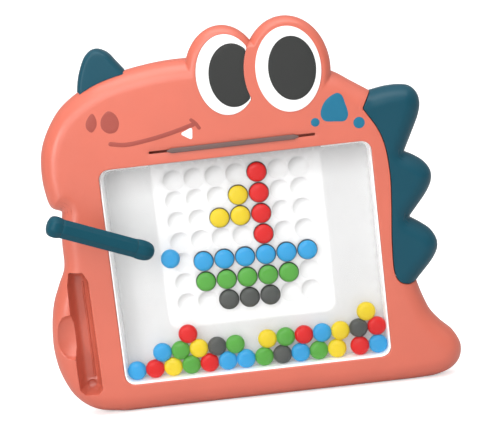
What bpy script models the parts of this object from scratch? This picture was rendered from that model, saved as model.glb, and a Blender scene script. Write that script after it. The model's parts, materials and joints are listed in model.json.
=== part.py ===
"""Dinosaur-shaped magnetic bead board with its pen, pattern card and beads.

The board stands upright and faces -Y. Its back is the plane y = 0, +Z is up and +X is to the right
of a person who looks at it. The origin is on the back, straight behind the middle of the window.
Sizes below are in millimetres and become metres when a mesh is made.
"""

import math

import bmesh
import bpy
import numpy as np
from mathutils import Matrix, Vector

MM = 0.001
GAP = 0.3

# Depths, measured from the back plane towards the face (the face looks along -Y).
BOARD_DEPTH = 24.0
SHELL_SEAM = 8.0
WALL = 2.2
EDGE_ROLL = 15.0
BUMP_ROLL = 8.5
BUMP_EDGE = 17.0
BACK_ROLL = 2.5
SEAM_ROLL = 1.2
LEFT_BUMP_DEPTH = 24.5
RIGHT_BUMP_DEPTH = 25.6
INLAY_RECESS = 1.0
INLAY_THICKNESS = 0.6
HORN_EDGE = 7.0
HORN_DEPTH = 17.0
HORN_ROLL = 4.0
SPIKE_EDGE = 9.0
SPIKE_DEPTH = 22.8
SPIKE_ROLL = 9.0
TEAL_BACK = 3.0

# Window and the sandwich of sheets behind it.
WINDOW_HALF = (100.4, 81.6)
WINDOW_CORNER = 7.5
PANEL_HALF = (102.6, 84.0)
PANEL_BACK = 20.0
PANEL_THICKNESS = 1.5
TRAY_INNER = (98.7, 80.1)
TRAY_WALL = 3.0
TRAY_FRONT = PANEL_BACK - GAP
TRAY_FLOOR_FRONT = 7.7
TRAY_FLOOR_BACK = 5.0
CARD_POCKET_BACK = 6.6
PLATE_FRONT = 11.2
PLATE_BACK = 8.0

# Dimple grid: seven rows of seven, with the middle dimple at GRID_CENTRE.
GRID_SIZE = 7
GRID_PITCH = 15.6
GRID_CENTRE = (-0.6, 20.0)
DIMPLE_RADIUS = 7.3
DIMPLE_DEPTH = 2.2

# Pattern card and the tab that is pulled through the slot in the face.
CARD_WIDTH = 126.5
CARD_THICKNESS = 0.6
CARD_BACK = 7.0
CARD_BOTTOM = -45.6
CARD_TOP = 78.4
CARD_CORNER = 7.0
SLOT_HEIGHT = 90.8
SLOT_LENGTH = 122.5
SLOT_WIDTH = 3.4
TAB_WIDTH = 100.0
TAB_THICKNESS = 1.2
TAB_FRONT = (24.6, 91.3)
TAB_BACK = (9.2, 84.6)
TAB_BAR_SIDE = 49.5
TAB_BAR_TAPER = 4.6
TAB_BAR_LOW = 88.7
TAB_BAR_HIGH = 92.3
TAB_BAR_BACK = 24.3
TAB_BAR_FRONT = 25.3
THROAT_HALF = 64.2

# Beads: domed discs. A seated bead lies in its dimple, a loose one behind the window.
BEAD_RADIUS = 6.8
BEAD_HALF = 3.8
SEATED_DEPTH = PLATE_FRONT - DIMPLE_DEPTH + GAP + BEAD_HALF
LOOSE_DEPTH = PLATE_FRONT + GAP + BEAD_HALF
DRAGGED_BEAD = (-56.1, 9.3)
PATTERN = ("....r..", "...yr..", "..yyr..", "....r..", ".bbbbbb", ".ggggg.", "..kkk..")
FLOOR_BEADS = "brygrbbgkbgyrb"
FLOOR_PITCH = 13.8
FLOOR_ENDS = (-91.4, 91.5)
FLOOR_KEPT = (0, 6, 7)
FLOOR_BEFORE_GAP = 12
PILE = (
    ("b", -70.7),
    ("g", -56.9),
    ("y", -43.1),
    ("k", -29.3),
    ("g", -15.5),
    ("y", 9.0),
    ("g", 22.8),
    ("r", 36.6),
    ("b", 50.4),
    ("y", 64.2),
    ("k", 78.0),
    ("r", -50.0),
    ("r", 91.8),
    ("y", 84.9),
)
PILE_SPACING = 13.8
COLOUR_NAMES = {"r": "red", "y": "yellow", "b": "blue", "g": "green", "k": "dark"}

# Pen: measured along its own axis from the tip.
PEN_TIP = (-67.3, -28.7, 17.6)
PEN_DIRECTION = (-68.9, -32.0, 34.1)
PEN_LENGTH = 83.3
PEN_RADIUS = 7.1
PEN_BORE = 5.2
PEN_PLUG = 4.9
TIP_CAP_LENGTH = 15.0
END_CAP_LENGTH = 10.0
END_CAP_RADIUS = 8.2
PLUG_LENGTH = 6.0
MAGNET_RADIUS = 3.4
MAGNET_LENGTH = 9.0

# Pen tray: a trough that is open to the front.
TRAY_TOP = 8.4
TRAY_BOTTOM = -86.5
TRAY_AXIS = (-125.4, -127.0)
TROUGH_RADIUS = (8.0, 9.0)
TROUGH_DEPTH = 14.0
FINGER_NOTCH = (-137.0, -40.0)
FINGER_NOTCH_HALF = (10.0, 8.0, 15.5)

# Screws hold the back cover to posts that stand in the front housing.
SCREWS = ((-112.0, 112.0), (84.0, 101.0), (-118.0, 34.0), (-104.0, -94.0), (4.0, -94.0), (120.0, -90.0))
POST_RADIUS = 3.8
PILOT_RADIUS = 1.4
PILOT_DEPTH = 19.0
SCREW_RADIUS = 1.05
SCREW_HEAD_RADIUS = 2.6
SCREW_HEAD_HEIGHT = 1.7
SCREW_SINK = 0.5
SCREW_TIP = 16.5
HEAD_RECESS_RADIUS = 3.1

# Outlines, as the points that a smooth curve runs through.
HEAD = (
    (-132.4, 53.3), (-139.6, 57.0), (-142.9, 69.0), (-143.6, 84.0), (-141.6, 99.0), (-136.0, 112.5),
    (-124.5, 128.5), (-108.0, 140.3), (-90.0, 148.0), (-50.0, 155.0), (-15.0, 155.0), (30.0, 150.0),
    (77.3, 134.6), (92.4, 124.8), (104.0, 117.0),
)
SPIKE_SEAM = (
    (104.0, 117.0), (98.2, 104.4), (104.9, 91.5), (109.6, 80.0), (112.2, 62.0), (111.6, 31.0),
    (108.6, -4.0), (110.0, -22.0), (116.7, -29.0), (125.4, -28.4),
)
TAIL = (
    (125.4, -28.4), (128.8, -40.2), (133.8, -52.9), (140.6, -62.2), (150.3, -72.4), (154.4, -82.8),
    (152.1, -92.8), (145.6, -99.2), (134.0, -103.3), (116.0, -104.4),
)
LEFT_FLANK = (
    (-104.0, -104.4), (-126.0, -100.2), (-140.2, -89.3), (-149.2, -70.7), (-152.3, -52.2),
    (-151.6, -34.5), (-147.7, -15.2), (-141.7, -0.9), (-136.6, 10.3), (-135.4, 30.6), (-132.4, 53.3),
)
SPIKES = (
    (
        (104.0, 117.0), (115.4, 118.8), (126.3, 118.8), (133.8, 117.0), (138.7, 111.6), (140.2, 103.8),
        (138.2, 95.3), (132.8, 83.9), (125.3, 69.2),
    ),
    ((125.3, 69.2), (132.5, 65.3), (139.3, 60.0), (143.5, 53.0), (143.5, 46.3), (140.1, 38.9), (124.5, 19.9)),
    ((124.5, 19.9), (133.9, 13.4), (140.2, 7.7), (143.5, 0.6), (143.5, -5.1), (139.8, -12.5), (125.4, -28.4)),
)
HORN = (
    (-109.6, 140.0), (-108.2, 147.5), (-105.9, 154.8), (-100.9, 164.8), (-96.0, 169.0), (-91.4, 169.8),
    (-87.0, 168.3), (-83.1, 165.6), (-78.5, 159.5), (-72.7, 151.8),
)
LEFT_BUMP = ((-1.0, 139.9), (28.5, 36.7))
RIGHT_BUMP = ((45.7, 139.3), (31.7, 39.0))
LEFT_EYE = ((0.9, 140.7), (22.1, 29.4))
RIGHT_EYE = ((46.2, 139.8), (24.0, 31.2))

# Tongues of the horn and the spikes, as (x, z, half width, half height), and their depths.
TONGUES = (
    (-91.0, 143.0, 6.0, 9.0),
    (106.0, 91.0, 7.0, 5.0),
    (110.5, 45.0, 6.0, 5.0),
    (109.0, -5.0, 5.5, 5.0),
)
TONGUE_DEPTHS = (9.5, 13.0)

ROUND = 16
BEAD_SIDES = 12
OUTLINE_STEP = 7.0
HORN_STEP = 3.0
SPIKE_STEP = 5.0


# ---------------------------------------------------------------- curves and loops, in the XZ plane

def smooth_curve(points, steps=12):
    """Points on a centripetal Catmull-Rom curve through the given points, both ends included."""
    p = [Vector(q) for q in points]
    p = [2 * p[0] - p[1]] + p + [2 * p[-1] - p[-2]]
    out = []
    for a, b, c, d in zip(p, p[1:], p[2:], p[3:]):
        ab, bc, cd = (b - a).length ** 0.5, (c - b).length ** 0.5, (d - c).length ** 0.5
        leave = ((b - a) / ab - (c - a) / (ab + bc) + (c - b) / bc) * bc
        arrive = ((c - b) / bc - (d - b) / (bc + cd) + (d - c) / cd) * bc
        for k in range(steps):
            t = k / steps
            hermite = (2 * t**3 - 3 * t**2 + 1, t**3 - 2 * t**2 + t, 3 * t**2 - 2 * t**3, t**3 - t**2)
            out.append(b * hermite[0] + leave * hermite[1] + c * hermite[2] + arrive * hermite[3])
    return [tuple(v) for v in out] + [tuple(p[-2])]


def evenly(points, step, closed=True):
    """The same line with points about one step apart."""
    line = np.array(list(points) + ([points[0]] if closed else []))
    along = np.append(0, np.cumsum(np.linalg.norm(np.diff(line, axis=0), axis=1)))
    count = max(3, round(along[-1] / step))
    where = np.linspace(0, along[-1], count + 1)
    out = np.column_stack([np.interp(where, along, line[:, k]) for k in (0, 1)])
    return out[:-1] if closed else out


def ellipse(shape, count, grow=0.0):
    """A counter-clockwise ellipse from (centre, half sizes)."""
    (x, z), (a, b) = shape
    turn = 2 * math.pi * np.arange(count) / count
    return np.column_stack([x + (a + grow) * np.cos(turn), z + (b + grow) * np.sin(turn)])


def rounded_rectangle(low, high, radius, corner_steps=4):
    """A counter-clockwise rectangle with round corners."""
    centres = (
        (high[0] - radius, high[1] - radius), (low[0] + radius, high[1] - radius),
        (low[0] + radius, low[1] + radius), (high[0] - radius, low[1] + radius),
    )
    out = []
    for quarter, (x, z) in enumerate(centres):
        for k in range(corner_steps + 1):
            turn = math.pi / 2 * (quarter + k / corner_steps)
            out.append((x + radius * math.cos(turn), z + radius * math.sin(turn)))
    return np.array(out)


def counter_clockwise(loop):
    loop = np.asarray(loop, float)
    following = np.roll(loop, -1, axis=0)
    area = np.sum(loop[:, 0] * following[:, 1] - following[:, 0] * loop[:, 1])
    return loop if area > 0 else loop[::-1]


def inward(loop):
    """Unit normals that point into a counter-clockwise loop."""
    tangent = np.roll(loop, -1, axis=0) - np.roll(loop, 1, axis=0)
    tangent /= np.linalg.norm(tangent, axis=1)[:, None]
    return np.column_stack([-tangent[:, 1], tangent[:, 0]])


def room_inside(loop):
    """For each point, the radius of the largest circle inside the loop that touches it there."""
    away = loop[None] - loop[:, None]
    ahead = np.einsum("ijk,ik->ij", away, inward(loop))
    squared = (away**2).sum(2)
    radius = np.where(ahead > 1e-3, squared / np.maximum(2 * ahead, 1e-3), np.inf)
    return radius.min(axis=1)


def inset(loop, width, share=1.0):
    """Move a loop inwards by a width, or by less where the shape is too narrow for it."""
    limit = np.minimum(width, 0.8 * room_inside(loop))
    for _ in range(3):
        limit = (np.roll(limit, 1) + 2 * limit + np.roll(limit, -1)) / 4
    return loop + inward(loop) * (limit * share)[:, None]


# ---------------------------------------------------------------- meshes and objects

def clear_scene():
    for obj in list(bpy.data.objects):
        bpy.data.objects.remove(obj, do_unlink=True)


def material(name, colour, roughness, metallic=0.0, alpha=1.0):
    made = bpy.data.materials.new(name)
    made.use_nodes = True
    shader = made.node_tree.nodes["Principled BSDF"]
    shader.inputs["Base Color"].default_value = (*colour, 1.0)
    shader.inputs["Roughness"].default_value = roughness
    shader.inputs["Metallic"].default_value = metallic
    shader.inputs["Alpha"].default_value = alpha
    made.diffuse_color = (*colour, alpha)
    return made


def add(name, bm, finish, parent=None):
    """Turn a bmesh in millimetres into an object in metres."""
    bmesh.ops.recalc_face_normals(bm, faces=bm.faces)
    bmesh.ops.scale(bm, vec=(MM, MM, MM), verts=bm.verts)
    mesh = bpy.data.meshes.new(name)
    bm.to_mesh(mesh)
    bm.free()
    if finish is not None:
        mesh.materials.append(finish)
    obj = bpy.data.objects.new(name, mesh)
    bpy.context.scene.collection.objects.link(obj)
    obj.parent = parent
    return obj


def smooth(obj, degrees=40):
    obj.data.shade_smooth()
    obj.data.set_sharp_from_angle(angle=math.radians(degrees))


def loft(loops):
    """A closed solid through loops of (x, y, z) points, capped at both ends."""
    bm = bmesh.new()
    rings = [[bm.verts.new(p) for p in loop] for loop in loops]
    for a, b in zip(rings, rings[1:]):
        for k in range(len(a)):
            n = (k + 1) % len(a)
            bm.faces.new((a[k], a[n], b[n], b[k]))
    bm.faces.new(rings[0])
    bm.faces.new(rings[-1])
    return bm


def at_depth(loop, depth):
    return [(x, -depth, z) for x, z in loop]


def prism(loop, back, front):
    """A loop in the XZ plane, extruded from one depth to another."""
    return loft([at_depth(loop, back), at_depth(loop, front)])


def block(low, high):
    (x0, z0), (x1, z1) = (low[0], low[2]), (high[0], high[2])
    return prism(((x0, z0), (x1, z0), (x1, z1), (x0, z1)), low[1], high[1])


def post(centre, radius, back, front, sides=ROUND):
    return prism(ellipse((centre, (radius, radius)), sides), back, front)


def rolled(loop, back, edge, front, width, steps=3):
    """A solid with a straight side from back to edge and a rolled edge from there to front."""
    loops = [at_depth(loop, back)]
    for k in range(steps + 1):
        turn = math.pi / 2 * k / steps
        depth = edge + (front - edge) * math.sin(turn)
        loops.append(at_depth(inset(loop, width, 1 - math.cos(turn)), depth))
    return loft(loops)


def turned(profile, sides=ROUND):
    """A solid of revolution about local Z from (radius, height) pairs, flat at both ends."""
    loops = []
    for radius, height in profile:
        turns = [2 * math.pi * (k + 0.5) / sides for k in range(sides)]
        loops.append([(radius * math.cos(t), radius * math.sin(t), height) for t in turns])
    return loft(loops)


def apply_modifiers(obj):
    bpy.context.view_layer.update()
    shaped = obj.evaluated_get(bpy.context.evaluated_depsgraph_get())
    obj.data = bpy.data.meshes.new_from_object(shaped)
    obj.modifiers.clear()


def shape_with(obj, operation, *tools):
    """Apply Boolean tools, given as bmeshes in millimetres and in the object's own space."""
    cutters = [add("tool", bm, None, obj.parent) for bm in tools]
    for cutter in cutters:
        modifier = obj.modifiers.new("boolean", "BOOLEAN")
        modifier.operation = operation
        modifier.solver = "EXACT"
        modifier.object = cutter
    apply_modifiers(obj)
    for cutter in cutters:
        bpy.data.objects.remove(cutter, do_unlink=True)


# ---------------------------------------------------------------- the two shells of the housing

def body_outline(grow=0.0):
    """The edge of the coral body, without the bumps over the eyes."""
    line = smooth_curve(HEAD) + smooth_curve(SPIKE_SEAM)[1:] + smooth_curve(TAIL)[1:]
    loop = counter_clockwise(evenly(line + smooth_curve(LEFT_FLANK)[:-1], OUTLINE_STEP))
    return loop - inward(loop) * grow


def roll_width(loop):
    """How wide the rolled edge is: narrow along the seam with the spikes, wide elsewhere."""
    beside_spikes = (loop[:, 0] > 96) & (loop[:, 1] > -27) & (loop[:, 1] < 114)
    return np.where(beside_spikes, SEAM_ROLL, EDGE_ROLL)


def bump(shape, depth, grow=0.0):
    return rolled(ellipse(shape, 36, grow), SHELL_SEAM - 1 - grow, BUMP_EDGE, depth + grow, BUMP_ROLL)


def eye_recess(shape, depth):
    return prism(ellipse(shape, 32), depth - INLAY_RECESS, depth + 1)


def trough():
    """The pen tray's cutter: a round-bottomed channel that widens towards its lower end."""
    loops = []
    for x, radius, z in zip(TRAY_AXIS, TROUGH_RADIUS, (TRAY_TOP, TRAY_BOTTOM)):
        middle = BOARD_DEPTH - TROUGH_DEPTH + radius
        turns = [math.pi * k / 8 for k in range(9)]
        arc = [(x + radius * math.cos(t), -(middle - radius * math.sin(t)), z) for t in turns]
        loops.append([(x + radius, -BOARD_DEPTH - 3, z)] + arc + [(x - radius, -BOARD_DEPTH - 3, z)])
    return loft(loops)


def finger_notch():
    bm = bmesh.new()
    bmesh.ops.create_uvsphere(bm, u_segments=16, v_segments=8, radius=1)
    place = Matrix.Translation((FINGER_NOTCH[0], -BOARD_DEPTH, FINGER_NOTCH[1]))
    bm.transform(place @ Matrix.Diagonal((*FINGER_NOTCH_HALF, 1)))
    return bm


def cavity():
    """The hollow of the front housing, less what stays solid in it."""
    inner = inset(body_outline(), WALL)
    hollow = add("cavity", rolled(inner, 7, SHELL_SEAM, BOARD_DEPTH - WALL, roll_width(inner)), None)
    for (centre, half), depth in ((LEFT_BUMP, LEFT_BUMP_DEPTH), (RIGHT_BUMP, RIGHT_BUMP_DEPTH)):
        inside = rolled(ellipse((centre, half), 36, -WALL), 7, BUMP_EDGE - WALL, depth - 2 * WALL, BUMP_ROLL)
        shape_with(hollow, "UNION", inside)
    left = min(TRAY_AXIS) - max(TROUGH_RADIUS) - WALL
    right = max(TRAY_AXIS) + max(TROUGH_RADIUS) + WALL
    trough_walls = block((left, 6, TRAY_BOTTOM - WALL), (right, BOARD_DEPTH, TRAY_TOP + WALL))
    notch_walls = block((-148, 6, -58), (left + 1, BOARD_DEPTH, -22))
    posts = [post(at, POST_RADIUS, 6, BOARD_DEPTH) for at in SCREWS]
    shape_with(hollow, "DIFFERENCE", trough_walls, notch_walls, *posts)
    return hollow


def tongue_blocks(grow=0.0):
    """Tongues that hold the horn and the spikes, in slots through the housing's side wall."""
    blocks = []
    for x, z, half_x, half_z in TONGUES:
        low = (x - half_x - grow, TONGUE_DEPTHS[0] - grow, z - half_z - grow)
        high = (x + half_x + grow, TONGUE_DEPTHS[1] + grow, z + half_z + grow)
        blocks.append(block(low, high))
    return blocks


def front_housing(finish):
    outline = body_outline()
    solid = rolled(outline, SHELL_SEAM, SHELL_SEAM, BOARD_DEPTH, roll_width(outline))
    shell = add("front_housing", solid, finish)
    for shape, eye, depth in (
        (LEFT_BUMP, LEFT_EYE, LEFT_BUMP_DEPTH),
        (RIGHT_BUMP, RIGHT_EYE, RIGHT_BUMP_DEPTH),
    ):
        shape_with(shell, "UNION", bump(shape, depth))
        shape_with(shell, "DIFFERENCE", eye_recess(eye, depth))
    behind = block((-200, 0, -200), (200, SHELL_SEAM, 200))
    low, high = [-half for half in WINDOW_HALF], WINDOW_HALF
    window = prism(rounded_rectangle(low, high, WINDOW_CORNER), BOARD_DEPTH - 4, BOARD_DEPTH + 1)
    slot = block(
        (-SLOT_LENGTH / 2, BOARD_DEPTH - 4, SLOT_HEIGHT - SLOT_WIDTH / 2),
        (SLOT_LENGTH / 2, BOARD_DEPTH + 1, SLOT_HEIGHT + SLOT_WIDTH / 2),
    )
    pilots = [post(at, PILOT_RADIUS, 6, PILOT_DEPTH, sides=10) for at in SCREWS]
    hollow = cavity()
    modifier = shell.modifiers.new("cavity", "BOOLEAN")
    modifier.object = hollow
    apply_modifiers(shell)
    bpy.data.objects.remove(hollow, do_unlink=True)
    shape_with(shell, "DIFFERENCE", behind, window, slot, trough(), finger_notch(), *pilots)
    shape_with(shell, "DIFFERENCE", *tongue_blocks(GAP))
    smooth(shell)
    return shell


def back_cover(finish):
    front = SHELL_SEAM - GAP
    shell = add("back_cover", rolled(body_outline(), front, BACK_ROLL, 0, BACK_ROLL, steps=2), finish)
    for shape in (LEFT_BUMP, RIGHT_BUMP):
        shape_with(shell, "UNION", rolled(ellipse(shape, 36), front, BACK_ROLL, 0, BACK_ROLL, steps=2))
    hollow = add("hollow", prism(inset(body_outline(), WALL), WALL, SHELL_SEAM + 1), None)
    for shape in (LEFT_BUMP, RIGHT_BUMP):
        shape_with(hollow, "UNION", prism(ellipse(shape, 36, -WALL), WALL, SHELL_SEAM + 1))
    bosses = [post(at, HEAD_RECESS_RADIUS + WALL, 0, 10) for at in SCREWS]
    ribs = [block((x - 1, 0, -80), (x + 1, TRAY_FLOOR_BACK - GAP, 78)) for x in (-60, 0, 60)]
    shape_with(hollow, "DIFFERENCE", *bosses, *ribs)
    modifier = shell.modifiers.new("hollow", "BOOLEAN")
    modifier.object = hollow
    apply_modifiers(shell)
    bpy.data.objects.remove(hollow, do_unlink=True)
    sink = SCREW_SINK + SCREW_HEAD_HEIGHT + GAP
    recesses = [post(at, HEAD_RECESS_RADIUS, -1, sink, sides=12) for at in SCREWS]
    holes = [post(at, PILOT_RADIUS, -1, 10, sides=10) for at in SCREWS]
    shape_with(shell, "DIFFERENCE", *recesses, *holes)
    smooth(shell)
    return shell


# ---------------------------------------------------------------- horn, spikes and eyes

def clear_of_body(obj):
    """Cut a piece back to a hairline gap from the body and its tongue slots."""
    shape_with(obj, "DIFFERENCE", prism(body_outline(GAP * 1.4), -5, BOARD_DEPTH + 5))


def nose_horn(finish):
    base = [(-84.0, 130.0), (-104.0, 122.0)]
    loop = counter_clockwise(evenly(smooth_curve(HORN) + base, HORN_STEP))
    horn = add("nose_horn", rolled(loop, TEAL_BACK, HORN_EDGE, HORN_DEPTH, HORN_ROLL), finish)
    clear_of_body(horn)
    shape_with(horn, "UNION", tongue_blocks()[0])
    smooth(horn)
    return horn


def back_spikes(finish):
    outer = [p for spike in SPIKES for p in smooth_curve(spike)[:-1]] + [SPIKES[-1][-1]]
    base = [(119.0, -38.0), (88.0, -38.0), (88.0, 96.0)]
    loop = counter_clockwise(evenly(outer + base, SPIKE_STEP))
    spikes = add("back_spikes", rolled(loop, TEAL_BACK, SPIKE_EDGE, SPIKE_DEPTH, SPIKE_ROLL), finish)
    clear_of_body(spikes)
    shape_with(spikes, "UNION", *tongue_blocks()[1:])
    smooth(spikes)
    return spikes


def eye_inlays(finish):
    back = INLAY_RECESS - GAP
    for name, eye, depth in (
        ("eye_inlay_left", LEFT_EYE, LEFT_BUMP_DEPTH),
        ("eye_inlay_right", RIGHT_EYE, RIGHT_BUMP_DEPTH),
    ):
        inlay = add(name, prism(ellipse(eye, 32, -GAP), depth - back, depth - back + INLAY_THICKNESS), finish)
        if eye is LEFT_EYE:
            shape_with(inlay, "DIFFERENCE", bump(RIGHT_BUMP, RIGHT_BUMP_DEPTH, GAP))


# ---------------------------------------------------------------- window, bead tray, dimple plate and card

def sheet(name, half, corner, back, front, finish):
    loop = rounded_rectangle((-half[0], -half[1]), half, corner)
    return add(name, prism(loop, back, front), finish)


def chamber_tray(finish):
    outer = [half + TRAY_WALL for half in TRAY_INNER]
    tray = sheet("chamber_tray", outer, WINDOW_CORNER, TRAY_FLOOR_BACK, TRAY_FRONT, finish)
    low = [-half for half in TRAY_INNER]
    room = prism(rounded_rectangle(low, TRAY_INNER, WINDOW_CORNER - 1), TRAY_FLOOR_FRONT, TRAY_FRONT + 1)
    throat = block((-THROAT_HALF, CARD_POCKET_BACK, CARD_BOTTOM - 0.6), (THROAT_HALF, PLATE_BACK, 90))
    shape_with(tray, "DIFFERENCE", room, throat)
    return tray


def grid_places():
    """The (row, column, x, z) of every dimple, from the top left."""
    middle = GRID_SIZE // 2
    for row in range(GRID_SIZE):
        for column in range(GRID_SIZE):
            x = GRID_CENTRE[0] + (column - middle) * GRID_PITCH
            yield row, column, x, GRID_CENTRE[1] - (row - middle) * GRID_PITCH


def dimple_plate(finish):
    half = [side - GAP for side in TRAY_INNER]
    plate = sheet("dimple_plate", half, WINDOW_CORNER - 1, PLATE_BACK, PLATE_FRONT, finish)
    floor = PLATE_FRONT - DIMPLE_DEPTH
    dimples = []
    for _, _, x, z in grid_places():
        radii = (DIMPLE_RADIUS * 0.58, DIMPLE_RADIUS, DIMPLE_RADIUS)
        depths = (floor, PLATE_FRONT, PLATE_FRONT + 1)
        dimples.append(
            loft([at_depth(ellipse(((x, z), (r, r)), 12), d) for r, d in zip(radii, depths)])
        )
    shape_with(plate, "DIFFERENCE", *dimples)
    smooth(plate, 20)
    return plate


def pattern_card(finish):
    low, high = (-CARD_WIDTH / 2, CARD_BOTTOM), (CARD_WIDTH / 2, CARD_TOP)
    loop = rounded_rectangle(low, high, CARD_CORNER)
    return add("pattern_card", prism(loop, CARD_BACK, CARD_BACK + CARD_THICKNESS), finish)


def card_tab(finish):
    """A strip that slopes from the slot down to the card, with a tapered bar to hold in front of the slot."""
    front, back = Vector(TAB_FRONT), Vector(TAB_BACK)
    along = (front - back).normalized()
    across = Vector((-along.y, along.x)) * TAB_THICKNESS / 2
    corners = (front + across, front - across, back - across, back + across)
    loops = [[(x, -depth, z) for depth, z in corners] for x in (-TAB_WIDTH / 2, TAB_WIDTH / 2)]
    tab = add("card_tab", loft(loops), finish)
    middle = (TAB_BAR_LOW + TAB_BAR_HIGH) / 2
    shoulder = TAB_BAR_SIDE - TAB_BAR_TAPER
    bar = [
        (TAB_BAR_SIDE, middle), (shoulder, TAB_BAR_HIGH), (-shoulder, TAB_BAR_HIGH),
        (-TAB_BAR_SIDE, middle), (-shoulder, TAB_BAR_LOW), (shoulder, TAB_BAR_LOW),
    ]
    shape_with(tab, "UNION", prism(bar, TAB_BAR_BACK, TAB_BAR_FRONT))
    return tab


# ---------------------------------------------------------------- beads

def bead_mesh(finish):
    profile = ((0.46, 1.0), (1.0, 0.3), (1.0, -0.3), (0.46, -1.0))
    loops = []
    for share, height in profile:
        radius = BEAD_RADIUS * share
        loops.append(at_depth(ellipse(((0, 0), (radius, radius)), BEAD_SIDES), height * BEAD_HALF))
    pattern = add("pattern", loft(loops), finish)
    smooth(pattern, 75)
    mesh = pattern.data
    bpy.data.objects.remove(pattern, do_unlink=True)
    return mesh


def place_bead(name, mesh, x, z, depth):
    bead = bpy.data.objects.new(name, mesh)
    bead.location = Vector((x, -depth, z)) * MM
    bpy.context.scene.collection.objects.link(bead)
    return bead


def floor_places():
    """The bottom row of loose beads: most stand from the left wall, the last ones from the right."""
    last = len(FLOOR_BEADS) - 1
    z = -TRAY_INNER[1] + GAP + BEAD_RADIUS
    for k, colour in enumerate(FLOOR_BEADS):
        from_left = FLOOR_ENDS[0] + FLOOR_PITCH * k
        from_right = FLOOR_ENDS[1] - FLOOR_PITCH * (last - k)
        yield colour, from_left if k < FLOOR_BEFORE_GAP else from_right, z


def resting_height(x, placed):
    """Where a bead comes to rest at x, on the beads that are already placed."""
    touching = [(z, x - px) for _, px, z in placed if abs(x - px) < PILE_SPACING]
    return max(z + math.sqrt(PILE_SPACING**2 - dx**2) for z, dx in touching)


def loose_places():
    """(kept in the model, colour, x, z) for every loose bead, bottom row first."""
    placed = list(floor_places())
    for colour, x in PILE:
        placed.append((colour, x, resting_height(x, placed)))
    for k, place in enumerate(placed):
        yield k in FLOOR_KEPT or k >= len(FLOOR_BEADS), *place


def beads(finishes):
    meshes = {letter: bead_mesh(finish) for letter, finish in finishes.items()}
    for row, column, x, z in grid_places():
        letter = PATTERN[row][column]
        if letter != ".":
            name = f"bead_row{row + 1}_col{column + 1}_{COLOUR_NAMES[letter]}"
            place_bead(name, meshes[letter], x, z, SEATED_DEPTH)
    for k, (kept, letter, x, z) in enumerate(loose_places()):
        if kept:
            place_bead(f"bead_loose{k + 1:02d}_{COLOUR_NAMES[letter]}", meshes[letter], x, z, LOOSE_DEPTH)
    place_bead("bead_dragged_blue", meshes["b"], *DRAGGED_BEAD, LOOSE_DEPTH)


# ---------------------------------------------------------------- pen and screws

def pen(body_finish, magnet_finish):
    """The pen, built along its own axis from the tip and turned into place by an empty."""
    axis = bpy.data.objects.new("pen_axis", None)
    axis.location = Vector(PEN_TIP) * MM
    axis.rotation_mode = "QUATERNION"
    axis.rotation_quaternion = Vector(PEN_DIRECTION).to_track_quat("Z", "Y")
    bpy.context.scene.collection.objects.link(axis)
    barrel_start, barrel_end = TIP_CAP_LENGTH + GAP, PEN_LENGTH - END_CAP_LENGTH - GAP
    plug_end = TIP_CAP_LENGTH + PLUG_LENGTH
    pocket_start = plug_end - MAGNET_LENGTH - 2 * GAP

    tube = turned(((PEN_RADIUS, barrel_start), (PEN_RADIUS, barrel_end)), 8)
    barrel = add("pen_barrel", tube, body_finish, axis)
    shape_with(barrel, "DIFFERENCE", turned(((PEN_BORE, 0), (PEN_BORE, PEN_LENGTH))))

    nose = ((2.2, 0), (4.9, 1.2), (6.4, 4), (7.8, 10), (7.8, 12.6), (7.1, 14), (7.1, TIP_CAP_LENGTH))
    plug = ((PEN_PLUG, TIP_CAP_LENGTH), (PEN_PLUG, plug_end))
    tip = add("pen_tip_cap", turned(nose + plug), body_finish, axis)
    pocket = MAGNET_RADIUS + GAP
    shape_with(tip, "DIFFERENCE", turned(((pocket, pocket_start), (pocket, plug_end + 1))))
    smooth(tip)

    base = PEN_LENGTH - END_CAP_LENGTH
    turns = [math.pi / 8 * k for k in range(4)]
    dome = [(END_CAP_RADIUS * math.cos(t) ** 0.8, base + 2 + 8 * math.sin(t)) for t in turns]
    plug = ((PEN_PLUG, base - PLUG_LENGTH), (PEN_PLUG, base), (7.4, base))
    end = add("pen_end_cap", turned((*plug, *dome, (1.5, PEN_LENGTH))), body_finish, axis)
    smooth(end)

    magnet = ((MAGNET_RADIUS, pocket_start + GAP), (MAGNET_RADIUS, pocket_start + GAP + MAGNET_LENGTH))
    smooth(add("pen_magnet", turned(magnet), magnet_finish, axis))


def screw_mesh(finish):
    """A pan-head screw along +Z from the face of its head, with a cross recess."""
    under = SCREW_HEAD_HEIGHT
    profile = (
        (SCREW_HEAD_RADIUS - 0.7, 0), (SCREW_HEAD_RADIUS, 0.8), (SCREW_HEAD_RADIUS, under),
        (SCREW_RADIUS, under), (SCREW_RADIUS, SCREW_TIP - 2), (0.3, SCREW_TIP),
    )
    screw = add("pattern", turned(profile, 10), finish)
    cross = []
    for half_x, half_y in ((1.6, 0.35), (0.35, 1.6)):
        corners = ((-half_x, -half_y), (half_x, -half_y), (half_x, half_y), (-half_x, half_y))
        cross.append(loft([[(x, y, z) for x, y in corners] for z in (-1, 0.9)]))
    shape_with(screw, "DIFFERENCE", *cross)
    smooth(screw)
    mesh = screw.data
    bpy.data.objects.remove(screw, do_unlink=True)
    return mesh


def cover_screws(finish):
    mesh = screw_mesh(finish)
    for k, (x, z) in enumerate(SCREWS):
        screw = bpy.data.objects.new(f"cover_screw_{k + 1}", mesh)
        screw.location = Vector((x, -SCREW_SINK, z)) * MM
        screw.rotation_euler = (math.pi / 2, 0, 0)
        bpy.context.scene.collection.objects.link(screw)


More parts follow.
